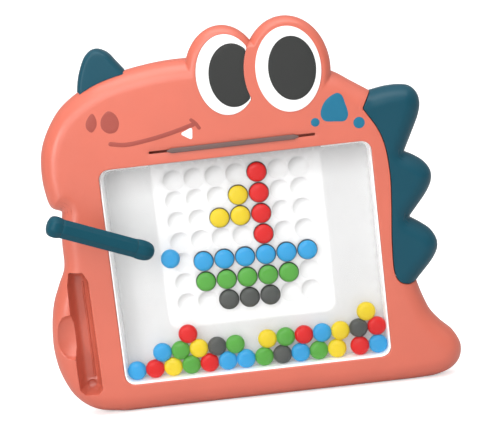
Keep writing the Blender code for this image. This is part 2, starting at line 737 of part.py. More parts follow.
def build():
    clear_scene()
    coral = material("coral_plastic", (0.85, 0.20, 0.14), 0.45)
    teal = material("teal_plastic", (0.012, 0.085, 0.125), 0.4)
    white = material("white_plastic", (0.88, 0.88, 0.87), 0.45)
    clear = material("clear_plastic", (0.95, 0.97, 0.98), 0.08, alpha=0.2)
    frosted = material("frosted_plastic", (0.9, 0.91, 0.91), 0.3, alpha=0.85)
    card = material("card", (0.93, 0.93, 0.93), 0.7)
    grey = material("grey_tab", (0.2, 0.13, 0.12), 0.6)
    steel = material("steel", (0.6, 0.6, 0.62), 0.3, metallic=1.0)
    bead_colours = {
        "r": (0.82, 0.02, 0.02), "y": (0.92, 0.69, 0.03), "b": (0.05, 0.41, 0.76),
        "g": (0.13, 0.46, 0.08), "k": (0.11, 0.12, 0.11),
    }
    bead_finishes = {k: material(f"bead_{COLOUR_NAMES[k]}", c, 0.3) for k, c in bead_colours.items()}

    front_housing(coral)
    back_cover(coral)
    nose_horn(teal)
    back_spikes(teal)
    eye_inlays(white)
    sheet("window_panel", PANEL_HALF, WINDOW_CORNER, PANEL_BACK, PANEL_BACK + PANEL_THICKNESS, clear)
    chamber_tray(white)
    dimple_plate(frosted)
    pattern_card(card)
    card_tab(grey)
    beads(bead_finishes)
    pen(teal, steel)
    cover_screws(steel)


build()
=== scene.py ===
"""Looks of the dinosaur bead board: smooth moulded shells, sheets, beads, pen, prints and studio.

Lengths are in millimetres in the frame of the CAD model and become metres when a mesh is made.
A depth is the distance from the back plane towards the face, which looks along -Y.
"""

import json
import math
import random

import bpy
import numpy as np
from mathutils import Matrix, Vector
from mathutils.geometry import delaunay_2d_cdt
from mathutils.kdtree import KDTree


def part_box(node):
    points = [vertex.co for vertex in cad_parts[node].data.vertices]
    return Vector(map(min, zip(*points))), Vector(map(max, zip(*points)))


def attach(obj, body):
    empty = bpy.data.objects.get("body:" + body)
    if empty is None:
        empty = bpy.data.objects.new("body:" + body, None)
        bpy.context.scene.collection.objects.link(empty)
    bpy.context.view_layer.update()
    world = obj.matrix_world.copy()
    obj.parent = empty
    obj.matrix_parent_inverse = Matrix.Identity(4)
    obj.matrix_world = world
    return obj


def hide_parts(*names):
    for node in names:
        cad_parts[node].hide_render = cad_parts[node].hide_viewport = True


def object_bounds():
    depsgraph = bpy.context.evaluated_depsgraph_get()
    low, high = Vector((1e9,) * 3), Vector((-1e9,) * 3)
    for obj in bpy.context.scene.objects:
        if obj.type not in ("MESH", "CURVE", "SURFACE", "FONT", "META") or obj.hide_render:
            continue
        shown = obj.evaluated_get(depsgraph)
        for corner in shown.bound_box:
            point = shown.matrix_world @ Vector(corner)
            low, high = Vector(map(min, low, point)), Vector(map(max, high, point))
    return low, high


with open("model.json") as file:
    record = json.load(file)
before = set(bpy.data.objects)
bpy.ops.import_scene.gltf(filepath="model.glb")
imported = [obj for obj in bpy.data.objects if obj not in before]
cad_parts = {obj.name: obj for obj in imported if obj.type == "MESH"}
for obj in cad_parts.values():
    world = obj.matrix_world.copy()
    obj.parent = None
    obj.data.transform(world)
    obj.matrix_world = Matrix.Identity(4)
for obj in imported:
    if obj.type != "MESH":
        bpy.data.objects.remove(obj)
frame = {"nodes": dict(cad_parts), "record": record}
cad_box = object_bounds()

MM = 0.001
GAP = 0.3
FACE = 24.0
SEAM = 8.0
WALL = 2.2
EDGE_ROLL = 16.0
SEAM_ROLL = 0.9
SIDE_TOP = 8.6

# Outlines of the silhouette, as the points that a smooth curve runs through (x, z).
HEAD = (
    (-132.4, 53.3), (-139.6, 57.0), (-142.9, 69.0), (-143.6, 84.0), (-141.6, 99.0), (-136.0, 112.5),
    (-124.5, 128.5), (-108.0, 140.3), (-90.0, 148.0), (-50.0, 155.0), (-15.0, 155.0), (30.0, 150.0),
    (77.3, 134.6), (92.4, 124.8), (104.0, 117.0),
)
SPIKE_SEAM = (
    (104.0, 117.0), (98.2, 107.4), (97.0, 105.0), (98.4, 102.6), (106.2, 89.3), (110.2, 77.0),
    (112.1, 55.0), (111.1, 34.3), (108.5, 1.5), (108.6, -19.7), (111.4, -26.0), (117.9, -29.2),
    (125.4, -28.4),
)
TAIL = (
    (125.4, -28.4), (128.8, -40.2), (133.8, -52.9), (140.6, -62.2), (150.3, -72.4), (154.4, -82.8),
    (152.1, -92.8), (145.6, -99.2), (134.0, -103.3), (116.0, -104.4),
)
LEFT_FLANK = (
    (-104.0, -104.4), (-126.0, -100.2), (-140.2, -89.3), (-149.2, -70.7), (-152.3, -52.2),
    (-151.6, -34.5), (-147.7, -15.2), (-141.7, -0.9), (-136.6, 10.3), (-135.4, 30.6), (-132.4, 53.3),
)
SPIKES = (
    (
        (104.0, 117.0), (115.4, 118.8), (126.3, 118.8), (133.8, 117.0), (138.7, 111.6), (140.2, 103.8),
        (138.2, 95.3), (132.8, 83.9), (125.3, 69.2),
    ),
    ((125.3, 69.2), (132.5, 65.3), (139.3, 60.0), (143.5, 53.0), (143.5, 46.3), (140.1, 38.9), (124.5, 19.9)),
    ((124.5, 19.9), (133.9, 13.4), (140.2, 7.7), (143.5, 0.6), (143.5, -5.1), (139.8, -12.5), (125.4, -28.4)),
)
HORN = (
    (-109.6, 140.0), (-108.2, 147.5), (-105.9, 154.8), (-100.9, 164.8), (-96.0, 169.0), (-91.4, 169.8),
    (-87.0, 168.3), (-83.1, 165.6), (-78.5, 159.5), (-72.7, 151.8),
)
# The head overlaps the lower body: each has its own rolled edge, and a crease runs in between them.
CHIN = ((-132.4, 53.3), (-127.5, 47.5), (-116.0, 38.0), (-80.0, 14.0))
NAPE = ((-132.4, 53.3), (-130.2, 60.0), (-122.0, 73.0), (-84.0, 112.0))

LEFT_BUMP = ((-1.0, 139.9), (28.5, 36.7))
RIGHT_BUMP = ((45.7, 139.3), (31.7, 39.0))
LEFT_EYE = ((0.9, 140.7), (22.1, 29.4))
RIGHT_EYE = ((46.2, 139.8), (24.0, 31.2))
LEFT_BUMP_TOP = 24.2
RIGHT_BUMP_TOP = 25.0
RING_FOOT = 23.9
STEP_GAP = 0.08
BUMP_EDGE = 15.5
BUMP_ROLL = 9.0
RING_ROLL = 2.6
EYE_RECESS = 1.0
EYE_INLAY_STEP = 0.35

WINDOW_HALF = (100.4, 81.6)
WINDOW_CORNER = 7.5
WINDOW_FILLET = 0.8
SLOT_CENTRE = (-0.6, 90.6)
SLOT_HALF = (61.1, 1.0)

TROUGH_CORNERS = (
    (-132.8, 8.5), (-121.6, 7.6), (-118.2, 0.8), (-117.8, -82.0), (-121.4, -85.9), (-131.4, -85.9),
    (-135.2, -82.0), (-134.4, 0.0),
)
TROUGH_CORNER = 1.7
TROUGH_HALF = 8.3
TROUGH_DEPTH = 11.0
TROUGH_WALL = 5.5
TROUGH_BELLY = 2.0
TROUGH_STEP = -75.7
TROUGH_STEP_HEIGHT = 0.6
CUP_CENTRE = (-126.6, -80.0)
CUP_RADIUS = 3.6
CUP_DEPTH = 1.0
RIDGE = ((-124.0, -37.5), (0.12, 36.0))
RIDGE_HEIGHT = 0.8
RIDGE_REACH = 0.9
NOTCH_CENTRE = (-136.5, -40.0)
NOTCH_HALF = (12.3, 8.0, 16.5)

LEFT_PUPIL = ((5.6, 139.8), (17.4, 23.1))
RIGHT_PUPIL = ((49.0, 140.2), (17.4, 23.2))
LEFT_NOSTRIL = (
    (-98.9, 123.7), (-96.6, 119.4), (-97.2, 114.0), (-101.0, 110.2), (-104.4, 113.4), (-103.9, 118.6),
)
RIGHT_NOSTRIL = (
    (-87.2, 124.2), (-82.2, 120.9), (-80.4, 114.6), (-83.1, 109.0), (-88.8, 108.1), (-93.4, 112.3),
    (-92.9, 119.0),
)
SMILE = ((-88.4, 100.2), (-78.0, 98.5), (-62.0, 100.0), (-44.0, 103.3), (-26.9, 107.7))
SMILE_WIDTH = 3.2
SMILE_END = ((-28.1, 111.1), (-25.4, 108.5), (-23.0, 104.7))
TOOTH = ((-37.6, 101.9), (-27.9, 106.0), (-28.8, 96.4))
TOOTH_CORNER = 1.5
LARGE_SPOT = (
    (79.6, 118.6), (72.4, 115.6), (67.8, 110.3), (66.0, 104.0), (68.2, 99.6), (76.0, 98.1), (83.4, 98.0),
    (85.9, 102.0), (84.6, 110.3), (82.6, 116.6),
)
LEFT_SPOT = ((61.5, 99.1), (3.2, 3.2))
RIGHT_SPOT = ((93.2, 95.3), (4.2, 4.2))
PRINT = 0.09
PRINT_EDGE = 0.04

SCREW_COUNT = 6
SCREW_HEAD = 2.6
CROSS = (1.7, 0.38)
PILOT_RADIUS = 1.4
RECESS_RADIUS = 3.1
RECESS_DEPTH = 2.5
STEP = 0.1
SEAM_GAP = 0.42
TEAL_BACK = 3.0
TEAL_BACK_ROLL = 1.8
TEAL_SEAM_ROLL = 0.35
SKIN_GAP = 0.12
HORN_LAP = 2.4
HORN_BASE = ((-60.0, 110.0), (-104.0, 100.0))
SPIKE_BASE = ((119.0, -38.0), (60.0, -38.0), (60.0, 146.0))

TRAY_WALL = 2.5
LIP_WIDTH = 0.95
LIP_FRONT = 23.3
LIP_ROUND = 0.25
LIP_SINK = 4.0
SINK_ZONE = (60.0, 18.0)
WALL_DRAFT = 1.2
FOOT = 2.7
WINDOW_INSET = (3.5, 3.5)
TRAY_FLOOR = 7.7
POCKET_HALF = 64.2
POCKET_BOTTOM = -46.2
POCKET_BACK = 6.6
GRID_SIZE = 7
GRID_PITCH = 15.6
GRID_CENTRE = (-0.6, 20.0)
DIMPLE_RADIUS = 7.75
DIMPLE_POWER = 3.0
DIMPLE_DEPTH = 2.6
DIMPLE_RINGS = (7.77, 7.6, 7.2, 6.6, 5.4, 3.8, 1.9)
PLATE_GROWTH = 0.7
CARD_CORNER = 7.0
CARD_REACH = 6.0
TAB_FRONT = (24.6, 91.3)
TAB_BACK = (9.2, 84.6)
TAB_WIDTH = 100.0
TAB_TAPER = 4
TAB_THICKNESS = 1.2
BAR_CORNERS = ((49.5, 90.5), (44.9, 92.3), (-44.9, 92.3), (-49.5, 90.5), (-44.9, 88.7), (44.9, 88.7))
BAR_BACK = 24.3
BAR_FRONT = 25.3

BEAD_RADIUS = 7.7
LOOSE_BEAD_RADIUS = 7.2
BEAD_HALF = 3.8
BEAD_STEPS = 28
BEAD_SIDES = 48
BEAD_EDGE = 0.92
BEAD_STAGGER = 0.15
SEATED_LEAN = math.radians(1.5)
LOOSE_LEAN = math.radians(3)
FLOOR_LEAN = 0.12
FLOOR_COLOURS = "brygrbbgkbgyrb"
FLOOR_IN_MODEL = (0, 6, 7)
FLOOR_PITCH = 13.8
FLOOR_ENDS = (-91.4, 91.5)
FLOOR_BEFORE_GAP = 12
COLOUR_NAMES = {"r": "red", "y": "yellow", "b": "blue", "g": "green", "k": "dark"}
SEED = 4

PEN_RADIUS = 7.1
PEN_WALL = 1.9
PEN_PLUG = 4.9
PLUG_LENGTH = 6.0
PEN_GAP = 0.03
TIP_CAP_LENGTH = 15.0
END_CAP_LENGTH = 10.0
OCTAGON_SHIFT = 0.965
TIP_PROFILE = ((0.0, 0.0), (3.2, 0.4), (5.4, 2.0), (6.9, 5.0), (7.6, 8.5), (7.6, 12.0), (7.12, 15.0))
END_PROFILE = ((7.12, 0.0), (7.7, 2.0), (8.0, 4.2), (7.5, 6.9), (5.8, 8.9), (3.2, 9.8), (0.0, 10.0))

# Brightness of the surroundings below, beside and above the board.
SURROUNDINGS = (0.22, 0.39, 1.05)
FLOOR_GREY = 0.66
FLOOR_GLOW = 0.5
FLOOR_WHITE = 0.9
FLOOR_REACH = 20.0
WALL_DISTANCE = 1.2
WALL_SWEEP = 0.8
WALL_HEIGHT = 3.5
LIGHTS = (
    ("key", (-0.33, -1.2, 0.62), (0.9, 0.9), 7.0),
    ("top_box", (0.0, -0.45, 1.2), (1.4, 0.8), 9.0),
    ("left_strip", (-0.95, -0.9, 0.1), (0.1, 1.0), 5.4),
)
LIGHT_TARGET = (0.0, 0.0, 0.03)
CAMERA_ANGLES = (0.2876, 8.8285, -6.5477)
CAMERA_TARGET = (7.22, 0.0, 32.91)
CAMERA_DISTANCE = 1.0
CAMERA_LENS = 95.13

CLOUDINESS = 0.035
# Reach of the painted shade in the coral's hollows.
HOLLOW_SHADE_REACH = 0.016
SHEET_GLOSS = 0.5
# Painted shadow round each seated bead: its outer edge is darkened to this share of its colour.
BEAD_GAP_SHADOW = 0.06
TRAY_SHADE = 0.86
TRAY_SHADE_DEPTHS = (11.0, 16.0)
# Painted shade on the bead plate: a painted shadow of the window's left and top edges, and darker walls that
# face the shaded side.
DUSK = (("X", -99.0, -76.0, 0.09), ("Z", 80.0, 56.0, 0.17))
SHADED_SIDE = (0.57, 0.0, -0.82)

# Steps of the mesh, and the boxes (centre, half) that hold its finest part: where two rounded forms meet,
# round the eye bumps, at the chin, the finger notch and the lower end of the trough.
FINE = 1.3
FINEST = 0.9
COARSE = 4.0
CREASES = (
    ((22.0, 196.0), (64.0, 100.0)), ((-124.0, 52.0), (13.0, 12.0)), ((-138.0, -40.0), (11.0, 19.0)),
    ((-126.5, -80.0), (10.0, 8.0)),
)
FAR_RIGHT = 230.0


# ---------------------------------------------------------------- plane curves

def smooth_curve(points, steps=24):
    """Points on a centripetal Catmull-Rom curve through the given points, both ends included."""
    p = [Vector(q) for q in points]
    p = [2 * p[0] - p[1]] + p + [2 * p[-1] - p[-2]]
    out = []
    for a, b, c, d in zip(p, p[1:], p[2:], p[3:]):
        ab, bc, cd = (b - a).length ** 0.5, (c - b).length ** 0.5, (d - c).length ** 0.5
        leave = ((b - a) / ab - (c - a) / (ab + bc) + (c - b) / bc) * bc
        arrive = ((c - b) / bc - (d - b) / (bc + cd) + (d - c) / cd) * bc
        for k in range(steps):
            t = k / steps
            weights = (2 * t**3 - 3 * t**2 + 1, t**3 - 2 * t**2 + t, 3 * t**2 - 2 * t**3, t**3 - t**2)
            out.append(b * weights[0] + leave * weights[1] + c * weights[2] + arrive * weights[3])
    return np.array([tuple(v) for v in out] + [tuple(p[-2])])


def evenly(line, step, closed=False):
    """The same line with points about one step apart; an open line keeps both its ends."""
    line = np.asarray(line, float)
    if closed:
        line = np.vstack([line, line[:1]])
    along = np.append(0, np.cumsum(np.linalg.norm(np.diff(line, axis=0), axis=1)))
    count = max(3, round(along[-1] / step))
    where = np.linspace(0, along[-1], count + 1)
    out = np.column_stack([np.interp(where, along, line[:, k]) for k in (0, 1)])
    return out[:-1] if closed else out


def joined(*lines):
    """One loop from open lines that meet end to end; each keeps its first point."""
    return counter_clockwise(np.vstack([line[:-1] for line in lines]))


def counter_clockwise(loop):
    following = np.roll(loop, -1, axis=0)
    area = np.sum(loop[:, 0] * following[:, 1] - following[:, 0] * loop[:, 1])
    return loop if area > 0 else loop[::-1].copy()


def ellipse(shape, step=FINE, grow=0.0):
    (x, z), (a, b) = shape
    count = max(12, round(math.pi * (a + b + 2 * grow) / step))
    turn = 2 * math.pi * np.arange(count) / count
    return np.column_stack([x + (a + grow) * np.cos(turn), z + (b + grow) * np.sin(turn)])


def rounded_rectangle(low, high, radius, step=FINE):
    centres = (
        (high[0] - radius, high[1] - radius), (low[0] + radius, high[1] - radius),
        (low[0] + radius, low[1] + radius), (high[0] - radius, low[1] + radius),
    )
    steps = max(3, round(radius * math.pi / 2 / step * 1.5))
    out = []
    for quarter, (x, z) in enumerate(centres):
        for k in range(steps + 1):
            turn = math.pi / 2 * (quarter + k / steps)
            out.append((x + radius * math.cos(turn), z + radius * math.sin(turn)))
    return evenly(np.array(out), step, closed=True) if step < radius else np.array(out)


def closed_curve(points, step=0.5):
    """A smooth closed loop through the points."""
    ring = list(points) + list(points[:1])
    wrapped = [points[-2], points[-1]] + ring + [points[1], points[2]]
    line = smooth_curve(wrapped, 16)
    first = int(np.argmin(np.linalg.norm(line[:60] - points[0], axis=1)))
    last = len(line) - 60 + int(np.argmin(np.linalg.norm(line[-60:] - points[0], axis=1)))
    return counter_clockwise(evenly(line[first:last], step, closed=True))


def rounded_polygon(corners, radius, step=0.4):
    """A polygon with round corners."""
    out = []
    corners = np.asarray(corners, float)
    for before, at, after in zip(np.roll(corners, 1, axis=0), corners, np.roll(corners, -1, axis=0)):
        to_before, to_after = before - at, after - at
        to_before /= np.linalg.norm(to_before)
        to_after /= np.linalg.norm(to_after)
        half = math.acos(np.clip(to_before @ to_after, -1, 1)) / 2
        reach = radius / math.tan(half)
        start, end = at + to_before * reach, at + to_after * reach
        for share in np.linspace(0, 1, 9):
            out.append((1 - share) ** 2 * start + 2 * share * (1 - share) * at + share**2 * end)
    return counter_clockwise(evenly(np.array(out), step, closed=True))


def grown_box(centre, half, grow, radius, step=FINE):
    low = [c - h - grow for c, h in zip(centre, half)]
    high = [c + h + grow for c, h in zip(centre, half)]
    return rounded_rectangle(low, high, max(radius + grow, 0.05), step)


def inward(loop):
    tangent = np.roll(loop, -1, axis=0) - np.roll(loop, 1, axis=0)
    tangent /= np.linalg.norm(tangent, axis=1)[:, None]
    return np.column_stack([-tangent[:, 1], tangent[:, 0]])


def grown_loop(loop, width):
    return loop - inward(loop) * width


def inset(loop, width):
    """Move a counter-clockwise loop inwards, by less where the shape is too narrow."""
    away = loop[None] - loop[:, None]
    ahead = np.einsum("ijk,ik->ij", away, inward(loop))
    radius = np.where(ahead > 1e-3, (away**2).sum(2) / np.maximum(2 * ahead, 1e-3), np.inf).min(axis=1)
    limit = np.minimum(width, 0.8 * radius)
    for _ in range(2):
        limit = (np.roll(limit, 1) + 2 * limit + np.roll(limit, -1)) / 4
    return loop + inward(loop) * limit[:, None]


def nearest(targets, points):
    """The index of the target that is nearest to each point, and how far away it is."""
    tree = KDTree(len(targets))
    for k, (x, z) in enumerate(targets):
        tree.insert((x, z, 0), k)
    tree.balance()
    found = [tree.find((x, z, 0)) for x, z in points]
    return np.array([f[1] for f in found]), np.array([f[2] for f in found])


def distance(loop, points):
    """Signed distance from points to a closed counter-clockwise loop of short steps, positive inside."""
    closest = nearest(loop, points)[0]
    best, side = np.full(len(points), np.inf), np.zeros(len(points))
    for step in (-1, 0):
        start = loop[(closest + step) % len(loop)]
        along = loop[(closest + step + 1) % len(loop)] - start
        away = points - start
        share = np.clip((away * along).sum(1) / np.maximum((along**2).sum(1), 1e-12), 0, 1)
        gap = np.linalg.norm(away - share[:, None] * along, axis=1)
        left = (along[:, 0] * away[:, 1] - along[:, 1] * away[:, 0]) / np.linalg.norm(along, axis=1)
        closer = gap < best - 1e-9
        tie = np.abs(gap - best) <= 1e-9
        side = np.where(closer, left, np.where(tie, side + left, side))
        best = np.where(closer, gap, best)
    return best * np.where(side >= 0, 1, -1)


# ---------------------------------------------------------------- meshes

def linked(name, data):
    """A new object in the scene."""
    obj = bpy.data.objects.new(name, data)
    bpy.context.scene.collection.objects.link(obj)
    return obj


def make_mesh(name, vertices, faces):
    mesh = bpy.data.meshes.new(name)
    mesh.from_pydata([tuple(v) for v in np.asarray(vertices, float) * MM], [], [tuple(f) for f in faces])
    mesh.validate()
    mesh.update()
    return linked(name, mesh)


def finish(obj, material, node=None, body="root", sharp=35):
    """Shade a piece, give it its material, make it ride on its body, and hide the CAD node that it stands
    for.
    """
    mesh = obj.data
    mesh.materials.clear()
    mesh.materials.append(MATERIALS[material])
    mesh.shade_smooth()
    mesh.set_sharp_from_angle(angle=math.radians(sharp))
    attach(obj, body)
    if node:
        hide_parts(node)


def hexagonal_grid(low, high, step):
    rows = np.arange(low[1], high[1], step * 0.866)
    columns = np.arange(low[0], high[0], step)
    x, z = np.meshgrid(columns, rows)
    x = x + (np.arange(len(rows)) % 2)[:, None] * step / 2
    return np.column_stack([x.ravel(), z.ravel()])


def region(outline, holes=(), features=(), levels=(), coarse=COARSE):
    """Triangles of a plane region whose edges follow the outline, the holes and the feature loops.

    The levels are (where, step) pairs, from coarse to fine, with where(points) telling where they hold.
    """
    loops = [outline, *holes, *features]
    low, high = outline.min(0), outline.max(0)
    levels = [(lambda p: np.ones(len(p), bool), coarse), *levels]
    grids = []
    for k, (where, step) in enumerate(levels):
        grid = hexagonal_grid(low, high, step)
        for finer, _ in levels[k + 1 :][::-1]:
            grid = grid[~finer(grid)]
        grid = grid[where(grid)]
        near = nearest(np.vstack(loops), grid)[1]
        grids.append(grid[near > 0.6 * min(step, FINE)])
    scattered = np.vstack(grids)
    points, edges = [scattered], []
    count = len(scattered)
    for loop in loops:
        index = np.arange(len(loop)) + count
        edges += list(zip(index.tolist(), np.roll(index, -1).tolist()))
        points.append(loop)
        count += len(loop)
    flat = [Vector(p) for p in np.vstack(points)]
    made = delaunay_2d_cdt(flat, edges, [], 0, 1e-5)
    vertices = np.array([tuple(v) for v in made[0]])
    triangles = np.array([f for f in made[2] if len(f) == 3])
    middle = vertices[triangles].mean(1)
    keep = distance(outline, middle) > 0
    for hole in holes:
        keep &= distance(hole, middle) < 0
    triangles = triangles[keep]
    a, b, c = (vertices[triangles[:, k]] for k in range(3))
    area = (b[:, 0] - a[:, 0]) * (c[:, 1] - a[:, 1]) - (c[:, 0] - a[:, 0]) * (b[:, 1] - a[:, 1])
    triangles = triangles[np.abs(area) > 1e-7]
    used, triangles = np.unique(triangles, return_inverse=True)
    return vertices[used], triangles.reshape(-1, 3)


def shell(name, plane, front, back):
    """A closed solid over a plane region between two depths, each one number or one for every point."""
    points, triangles = plane
    count = len(points)
    front = np.broadcast_to(np.asarray(front, float), count)
    back = np.broadcast_to(np.asarray(back, float), count)
    vertices = np.vstack([
        np.column_stack([points[:, 0], -front, points[:, 1]]),
        np.column_stack([points[:, 0], -back, points[:, 1]]),
    ])
    edges = {}
    for a, b, c in triangles.tolist():
        for pair in ((a, b), (b, c), (c, a)):
            edges[pair] = True
    rim = [(a, b) for a, b in edges if (b, a) not in edges]
    faces = [tuple(t) for t in triangles.tolist()]
    faces += [(c + count, b + count, a + count) for a, b, c in triangles.tolist()]
    faces += [(b, a, a + count, b + count) for a, b in rim]
    return make_mesh(name, vertices, faces)


def rise(distances, width, low, high):
    """A quarter-round edge: low at distance 0, high from the width inwards."""
    t = np.clip(distances / width, 0, 1)
    return low + (high - low) * np.sqrt(1 - (1 - t) ** 2)


def fillet(distances, radius):
    """How much a rounded rim falls off, by the distance outside the rim."""
    t = np.clip(1 - distances / radius, 0, 1)
    return radius * (1 - np.sqrt(1 - t**2))


# ---------------------------------------------------------------- materials

class Nodes:
    """The node tree of a material or a world, with short calls to add and link nodes."""

    def __init__(self, owner):
        owner.use_nodes = True
        self.owner, self.tree = owner, owner.node_tree
        self.tree.nodes.clear()

    def add(self, kind, inputs=(), output=0, **settings):
        """Add a node, link or set its inputs, and return one of its outputs."""
        node = self.tree.nodes.new("ShaderNode" + kind)
        for key, value in settings.items():
            setattr(node, key, value)
        for key, value in dict(inputs).items():
            if isinstance(value, bpy.types.NodeSocket):
                self.tree.links.new(value, node.inputs[key])
            else:
                node.inputs[key].default_value = value
        return node.outputs[output]

    def place(self):
        return self.add("TexCoord", output="Object")

    def noise(self, scale, detail, roughness=0.5, vector=None):
        inputs = {"Vector": vector or self.place(), "Scale": scale, "Detail": detail, "Roughness": roughness}
        return self.add("TexNoise", inputs, "Fac")

    def spread(self, value, low, high, from_low=0.3, from_high=0.7):
        """The value with one range stretched to another, and kept within it."""
        ends = {"From Min": from_low, "From Max": from_high, "To Min": low, "To Max": high}
        return self.add("MapRange", {"Value": value, **ends}, "Result")

    def scaled(self, colour, share):
        return self.add("VectorMath", {0: colour, "Scale": share}, "Vector", operation="SCALE")

    def times(self, a, b):
        return self.add("Math", {0: a, 1: b}, operation="MULTIPLY")

    def mixed(self, share, colour, other):
        return self.add("Mix", {"Factor": share, 6: colour, 7: (*other, 1)}, 2, data_type="RGBA")

    def done(self, shader, kind="Material"):
        """Use a shader for the whole, and return the material or world."""
        self.tree.links.new(shader, self.tree.nodes.new("ShaderNodeOutput" + kind).inputs["Surface"])
        return self.owner


def moulded(
    name, base, roughness=0.42, grain=0.012, coat=0.0, edge_highlight=0.0, specular=0.4, hollow_shade=0.0, glow=0.0,
    toned=None,
):
    """Moulded plastic: faint cloudiness, a fine grain, uneven gloss, paler edges as a painted highlight,
    darker hollows as painted shade, and a glow that is painted light.

    Toned, if it is given, makes the final colour from (nodes, colour, base).
    """
    nodes = Nodes(bpy.data.materials.new(name))
    colour = nodes.scaled(base, nodes.spread(nodes.noise(22.0, 3.0), 1 - CLOUDINESS, 1 + CLOUDINESS))
    # Painted highlight: convex edges are made paler.
    if edge_highlight:
        edge = nodes.add("NewGeometry", output="Pointiness")
        highlight_colour = [min(1.0, v * 1.15 + 0.06) for v in base]
        colour = nodes.mixed(nodes.spread(edge, 0.0, edge_highlight, 0.52, 0.62), colour, highlight_colour)
    # Painted shade: hollows are made darker by ambient occlusion.
    if hollow_shade:
        free = nodes.add("AmbientOcclusion", {"Distance": HOLLOW_SHADE_REACH}, "AO", samples=6, only_local=True)
        colour = nodes.scaled(colour, nodes.spread(free, 1 - hollow_shade, 1.0, 0.0, 0.9))
    if toned:
        colour = toned(nodes, colour, base)
    gloss = nodes.spread(nodes.noise(70.0, 5.0, 0.65), roughness - 0.05, roughness + 0.06)
    height = nodes.noise(1500.0, 2.0)
    bump = nodes.add("Bump", {"Height": height, "Strength": 0.25, "Distance": grain * MM})
    # Glow is painted light: the surface gives off light of its own.
    return nodes.done(nodes.add("BsdfPrincipled", {
        "Base Color": colour, "Roughness": gloss, "Normal": bump, "Specular IOR Level": specular,
        "Coat Weight": coat, "Coat Roughness": 0.12,
        "Emission Color": (1, 1, 1, 1), "Emission Strength": glow,
    }))


def see_through(name, tint, body, roughness, milk=0.95, glow=0.0, shade=0.0, dusk=()):
    """A clear or frosted sheet: part see-through, part white body, with a weak gloss on top; glow adds
    painted light, and shade darkens walls that face one way as painted shade.

    Dusk lists the sides that lie in the shade of the window's edge: (axis, near, far, loss of light).
    """
    nodes = Nodes(bpy.data.materials.new(name))
    haze = nodes.spread(nodes.noise(30.0, 4.0), body * 0.94, body * 1.06)
    # Painted shade: walls that face the shaded side are darker, and the sides listed in dusk fade darker as a
    # painted shadow of the window's edges.
    normal = nodes.add("NewGeometry", output="Normal")
    turned_off = nodes.add("VectorMath", {0: normal, 1: SHADED_SIDE}, "Value", operation="DOT_PRODUCT")
    dim = nodes.spread(turned_off, 1.0, 1 - shade, 0.02, 0.6)
    if dusk:
        parts = nodes.add("SeparateXYZ", {0: nodes.place()}).node.outputs
        for axis, near, far, loss in dusk:
            dim = nodes.times(dim, nodes.spread(parts[axis], 1 - loss, 1.0, near * MM, far * MM))
    clear = nodes.add("BsdfTransparent", {"Color": nodes.scaled(tint, dim)})
    milky = nodes.add("BsdfDiffuse", {"Color": nodes.scaled((milk,) * 3, dim)})
    lit = nodes.add("AddShader", {0: milky, 1: nodes.add("Emission", {"Strength": glow})})
    sheet = nodes.add("MixShader", {"Fac": haze, 1: clear, 2: lit})
    shine = nodes.add("BsdfGlossy", {"Roughness": roughness})
    weak = nodes.times(nodes.add("Fresnel", {"IOR": 1.3}), SHEET_GLOSS)
    return nodes.done(nodes.add("MixShader", {"Fac": weak, 1: sheet, 2: shine}))


def brushed(name, base, roughness):
    """Plated steel with fine streaks in its gloss."""
    nodes = Nodes(bpy.data.materials.new(name))
    stretched = nodes.add("Mapping", {"Vector": nodes.place(), "Scale": (1, 1, 12)})
    gloss = nodes.spread(nodes.noise(300.0, 4.0, vector=stretched), roughness * 0.7, roughness * 1.4)
    metal = {"Base Color": (*base, 1), "Metallic": 1.0, "Roughness": gloss}
    return nodes.done(nodes.add("BsdfPrincipled", metal))


def gap_shadow_edge(nodes, colour, base):
    """Painted shadow: darker where a seated bead's outer edge is marked, for the gap between the bead and its
    dimple.
    """
    mark = nodes.add("Attribute", output="Fac", attribute_name="edge")
    return nodes.mixed(mark, colour, [v * BEAD_GAP_SHADOW for v in base])


def darker_below(nodes, colour, base):
    """Darker towards the bottom of the tray, which is shaded by its walls and sheets."""
    depth = nodes.add("SeparateXYZ", {0: nodes.place()}, "Y")
    low, high = (-limit * MM for limit in TRAY_SHADE_DEPTHS)
    return nodes.scaled(colour, nodes.spread(depth, TRAY_SHADE, 1.0, low, high))


